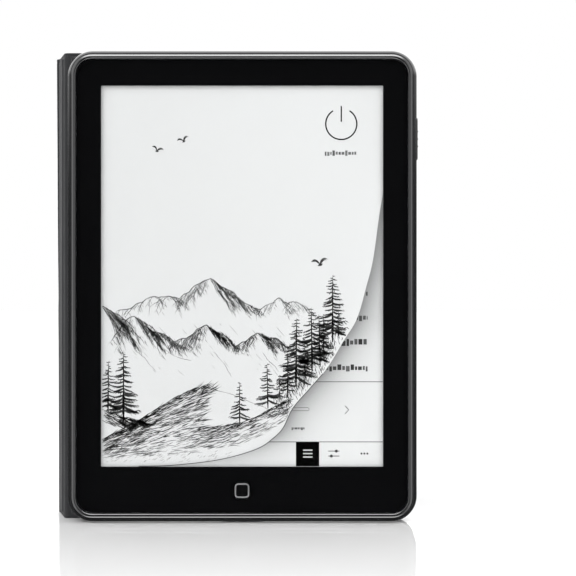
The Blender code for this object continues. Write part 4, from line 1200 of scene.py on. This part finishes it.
def make_clear_parts():
    """The glass and the clear films under it, without their back faces: fewer walls for light to cross."""
    looks = {
        "front_glass": ("clear_glass", glass_finish("clear_glass", (0.985, 0.99, 0.99), 0.02, 0.000004)),
        "touch_sensor": ("clear_film", film_finish("touch_film", (0.985, 0.987, 0.987), 350.0)),
        "light_guide": ("clear_film", film_finish("light_guide", (0.985, 0.986, 0.984), 500.0)),
    }
    for node, (slot, material) in looks.items():
        work = bmesh.new()
        work.from_mesh(NODES[node].data)
        bmesh.ops.delete(work, geom=[face for face in work.faces if face.normal.y > 0.9], context="FACES")
        mesh = bpy.data.meshes.new(node + "_face")
        work.to_mesh(mesh)
        work.free()
        mesh.materials.append(material)
        made = placed(node + "_face", mesh)
        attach(made, "reader")
        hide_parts(node)


# ---- finishes of the CAD nodes
def finish_board():
    """Circuit board: green resist over tracks, with bright pads."""
    finish = Finish("board_green", 0.35, Coat_Weight=0.3)
    turned = finish.add("Mapping", {"Vector": finish.place, "Rotation": (math.pi / 2, 0, 0)}).outputs[0]
    tracks = finish.add("TexBrick", {
        "Vector": turned, "Scale": 260.0, "Mortar Size": 0.03, "Color1": (0.006, 0.05, 0.03),
        "Color2": (0.008, 0.065, 0.036), "Mortar": (0.02, 0.11, 0.05),
    })
    pads = finish.cells(420.0, randomness=0.6)
    finish.tint(pads, 0.16, 0.2, (0.35, 0.28, 0.14), tracks.outputs["Color"])
    finish.raise_by(finish.noise(700.0), 0.00003, 0.5)
    return finish.material


def finish_ribbon(name, colour, track, pitch, axis="X"):
    """Flexible lead: film over parallel copper tracks."""
    finish = Finish(name, 0.35, Coat_Weight=0.4, Coat_Roughness=0.2)
    wave = finish.add("TexWave", {"Vector": finish.place, "Scale": pitch, "Distortion": 0.3},
                      bands_direction=axis).outputs["Fac"]
    finish.tint(wave, 0.35, 0.65, colour, track)
    finish.gloss(finish.noise(500.0), 0.3, 0.7, 0.28, 0.45)
    finish.raise_by(wave, 0.00003, 0.6)
    return finish.material


def finish_chip():
    """Moulded package: sooty and finely pitted."""
    finish = Finish("chip_black", 0.45)
    finish.vary((0.017, 0.017, 0.019), 0.2, 300.0)
    finish.vary_roughness(0.38, 0.6, 900.0)
    finish.raise_by(finish.noise(4000.0, 5.0), 0.00002, 0.7)
    return finish.material


def finish_pouch():
    """Laminated foil: bright, slightly crumpled."""
    finish = Finish("pouch_silver", 0.35, Metallic=0.8)
    finish.vary((0.5, 0.5, 0.52), 0.1, 70.0)
    crumple = finish.maths("ADD", finish.noise(90.0, 3.0), finish.times(finish.cells(160.0), 0.3))
    finish.gloss(crumple, 0.3, 0.8, 0.25, 0.5)
    finish.raise_by(crumple, 0.0004, 0.5)
    return finish.material


def finish_card():
    """Dark grey board: pressed fibres and flecks."""
    finish = Finish("grey_board", 0.9)
    fibre = finish.noise(1.0, 4.0, 0.7, finish.stretched((900.0, 900.0, 350.0)))
    tone = finish.weighed((fibre, 0.7), (finish.cells(500.0), 0.3))
    finish.tint(tone, 0.3, 0.6, (0.016, 0.016, 0.0165), (0.04, 0.04, 0.041))
    finish.raise_by(tone, 0.00008, 0.7)
    return finish.material


def finish_strip():
    """Edge light: white film with a row of amber diodes."""
    finish = Finish("light_strip", 0.4)
    across = finish.maths("FRACT", finish.times(finish.axis("X"), 130.0))
    diode = finish.span(finish.maths("ABSOLUTE", finish.maths("SUBTRACT", across, 0.5)), 0.14, 0.17)
    film = finish.blend(finish.noise(400.0), (0.62, 0.6, 0.5), (0.8, 0.78, 0.7))
    finish.set("Base Color", finish.blend(diode, (0.75, 0.5, 0.08), film))
    finish.raise_by(diode, 0.00008, 0.5)
    return finish.material


def finish_dome():
    """Stamped spring steel, with turned rings."""
    finish = Finish("dome_steel", 0.3, Metallic=1.0)
    rings = finish.add("TexWave", {"Vector": finish.place, "Scale": 900.0, "Distortion": 1.0},
                       wave_type="RINGS", rings_direction="Y").outputs["Fac"]
    finish.vary((0.55, 0.55, 0.57), 0.08, 200.0)
    finish.gloss(rings, 0.2, 0.8, 0.2, 0.38)
    finish.raise_by(rings, 0.00001, 0.4)
    return finish.material


def dress_nodes():
    steel = metal("bright_steel", (0.56, 0.56, 0.58), 0.26, (60.0, 60.0, 1400.0))
    chip, card = finish_chip(), finish_card()
    smoke_key = plain("key_black", (0.003, 0.003, 0.0033), 0.2, (1500.0, 0.000006),
                      Specular_IOR_Level=0.3)
    looks = {
        "bezel_mask": plain("mask_black", (0.0028, 0.0028, 0.0031), 0.5, (2500.0, 0.000008),
                            Specular_IOR_Level=0.0),
        "light_strip": finish_strip(),
        "eink_panel": paper_finish("display_paper"),
        "display_flex": finish_ribbon("flex_amber", (0.36, 0.15, 0.02), (0.55, 0.27, 0.06), 420.0),
        "power_flex": finish_ribbon("flex_side", (0.36, 0.15, 0.02), (0.55, 0.27, 0.06), 700.0),
        "home_key": smoke_key,
        "power_key": smoke_key,
        "mid_frame": plain("cast_metal", (0.36, 0.37, 0.39), 0.42, (1200.0, 0.00003), Metallic=1.0),
        "rear_housing": plain("housing_black", (0.012, 0.012, 0.013), 0.52, (1800.0, 0.00003)),
        "mainboard": finish_board(),
        "shield_can": steel,
        "radio_module": metal("etched_steel", (0.6, 0.6, 0.6), 0.32, (1100.0, 60.0, 60.0)),
        "antenna_film": finish_ribbon("antenna_copper", (0.06, 0.05, 0.045), (0.6, 0.26, 0.12), 300.0, "Z"),
        "charge_socket": metal("socket_steel", (0.62, 0.62, 0.64), 0.24, (60.0, 60.0, 1800.0)),
        "battery": finish_pouch(),
        "battery_guard": finish_ribbon("guard_amber", (0.42, 0.23, 0.03), (0.5, 0.3, 0.08), 180.0),
        "battery_tape": plain("tape_white", (0.66, 0.66, 0.63), 0.8, (1600.0, 0.00005), 0.08),
        "battery_socket": plain("socket_cream", (0.7, 0.67, 0.57), 0.45, (1600.0, 0.00002)),
        "battery_lead": finish_ribbon("lead_red", (0.35, 0.02, 0.012), (0.02, 0.02, 0.02), 330.0),
        "home_switch": finish_dome(),
        "power_switch": plain("switch_dark", (0.025, 0.025, 0.026), 0.45, (1600.0, 0.00002)),
    }
    for name in ("processor", "memory_chip", "storage_chip", "power_chip", "hall_sensor"):
        looks[name] = chip
    for number in range(1, 5):
        looks[f"board_screw_{number}"] = steel
    for name in ("back_board", "spine_board", "cover_board"):
        looks[name] = card
    for number in (1, 2):
        looks[f"cover_magnet_{number}"] = metal("magnet_nickel", (0.6, 0.59, 0.56), 0.2, (500.0,) * 3)
    for name, material in looks.items():
        for slot in NODES[name].material_slots:
            slot.material = material


# ---- stage, lights and camera
def make_stage():
    """A white floor that mirrors faintly near the object only."""
    bpy.ops.mesh.primitive_plane_add(size=8.0, location=(0, 0, -0.00005))
    floor = bpy.context.object
    floor.name = "floor"
    finish = Finish("floor_white", 0.6, Specular_IOR_Level=0.0)
    finish.set("Base Color", finish.blend(finish.noise(3.0), (0.83, 0.83, 0.83), (0.85, 0.85, 0.85)))
    gloss = finish.add("BsdfGlossy", {"Color": (1, 1, 1), "Roughness": 0.06})
    front = finish.span(finish.axis("Y"), -0.36, -0.02)
    behind = finish.span(finish.axis("Y"), -0.009, 0.03, 1.0, 0.0)
    near = finish.times(front, behind)
    share = finish.times(finish.add("Fresnel", {"IOR": 1.5}).outputs["Fac"], near)
    finish.surface(finish.add("MixShader", {0: share, 1: finish.shader.outputs[0], 2: gloss.outputs[0]}))
    floor.data.materials.append(finish.material)
    floor.visible_glossy = False


def make_world():
    """A light tent: white to the eye, even light on matt surfaces, and bright panels above, below
    and at the sides for glossy ones, with darkness straight in front of the display."""
    bpy.context.scene.world = bpy.data.worlds.new("tent")
    tent = Tree(bpy.context.scene.world)
    nodes, maths, times = tent.tree.nodes, tent.maths, tent.times
    tent.put(nodes["Background"].inputs["Color"], (1, 1, 1))

    def panel(value, low, high, strength):
        return tent.span(value, low, high, 0.0, strength, interpolation_type="SMOOTHSTEP")

    axes = tent.add("SeparateXYZ", {0: tent.add("TexCoord").outputs["Generated"]}).outputs
    up, down = axes["Z"], times(axes["Z"], -1.0)
    right, left = axes["X"], times(axes["X"], -1.0)
    front = times(axes["Y"], -1.0)
    ahead = panel(front, -0.12, 0.1, 1.0)
    centred = panel(maths("ABSOLUTE", axes["X"]), 0.65, 0.4, 1.0)
    overhead = times(panel(up, 0.6, 0.97, 18.0), centred)
    ring = maths("ADD", overhead, panel(down, 0.78, 0.95, 9.5))
    ring = maths("ADD", ring, panel(left, 0.3, 0.75, 2.8))
    ring = maths("ADD", ring, panel(right, 0.3, 0.75, 2.5))
    rear = maths("ADD", panel(up, 0.05, 0.35, 1.7), panel(axes["Y"], 0.9, 0.97, 1.0))
    glow = tent.weighed((ring, ahead), (rear, maths("SUBTRACT", 1.0, ahead)))
    glow = maths("ADD", glow, 0.07)
    dark = panel(front, 0.92, 0.97, 1.0)
    glow = times(glow, maths("SUBTRACT", 1.0, times(dark, 0.98)))
    soft = maths("ADD", 1.26, times(axes["Z"], 0.12))
    path = tent.add("LightPath").outputs
    chosen = tent.add("Mix", {0: path["Is Glossy Ray"], 2: soft, 3: glow}, data_type="FLOAT")
    seen = tent.add("Mix", {0: path["Is Camera Ray"], 2: chosen.outputs[0], 3: 1.0}, data_type="FLOAT")
    tent.put(nodes["Background"].inputs["Strength"], seen.outputs[0])
    tent.put(nodes["World Output"].inputs["Surface"], nodes["Background"].outputs[0])


def make_lamp(name, place, aim, size, power):
    light = bpy.data.lights.new(name, "AREA")
    light.shape, light.size, light.size_y = "RECTANGLE", size[0], size[1]
    light.energy = power
    lamp = placed(name, light)
    lamp.location = place
    way = mathutils.Vector(aim) - mathutils.Vector(place)
    lamp.rotation_euler = way.to_track_quat("-Z", "Y").to_euler()
    lamp.visible_glossy = False


CAMERA_FRONT = 450.0
CAMERA_SIDE = 14.75
CAMERA_HEIGHT = 75.3
CAMERA_LENS = 87.9


def make_camera():
    camera = placed("camera", bpy.data.cameras.new("camera"))
    camera.location = world([CAMERA_SIDE, -CAMERA_FRONT, CAMERA_HEIGHT]).tolist()
    camera.rotation_euler = (math.pi / 2, 0, 0)
    camera.data.lens = CAMERA_LENS
    camera.data.sensor_width = 36.0
    camera.data.clip_start = 0.01
    camera.data.clip_end = 50.0
    bpy.context.scene.camera = camera


make_camera()
make_bumper()
make_power_pad()
make_home_ring()
make_folio()
make_display()
make_clear_parts()
dress_nodes()
make_stage()
make_world()
make_lamp("key_light", (-0.5, -0.55, 0.75), (0, 0, 0.07), (0.5, 0.5), 2.2)
make_lamp("fill_light", (0.6, -0.5, 0.45), (0, 0, 0.07), (0.4, 0.6), 1.0)
bpy.context.scene.view_settings.view_transform = "Standard"
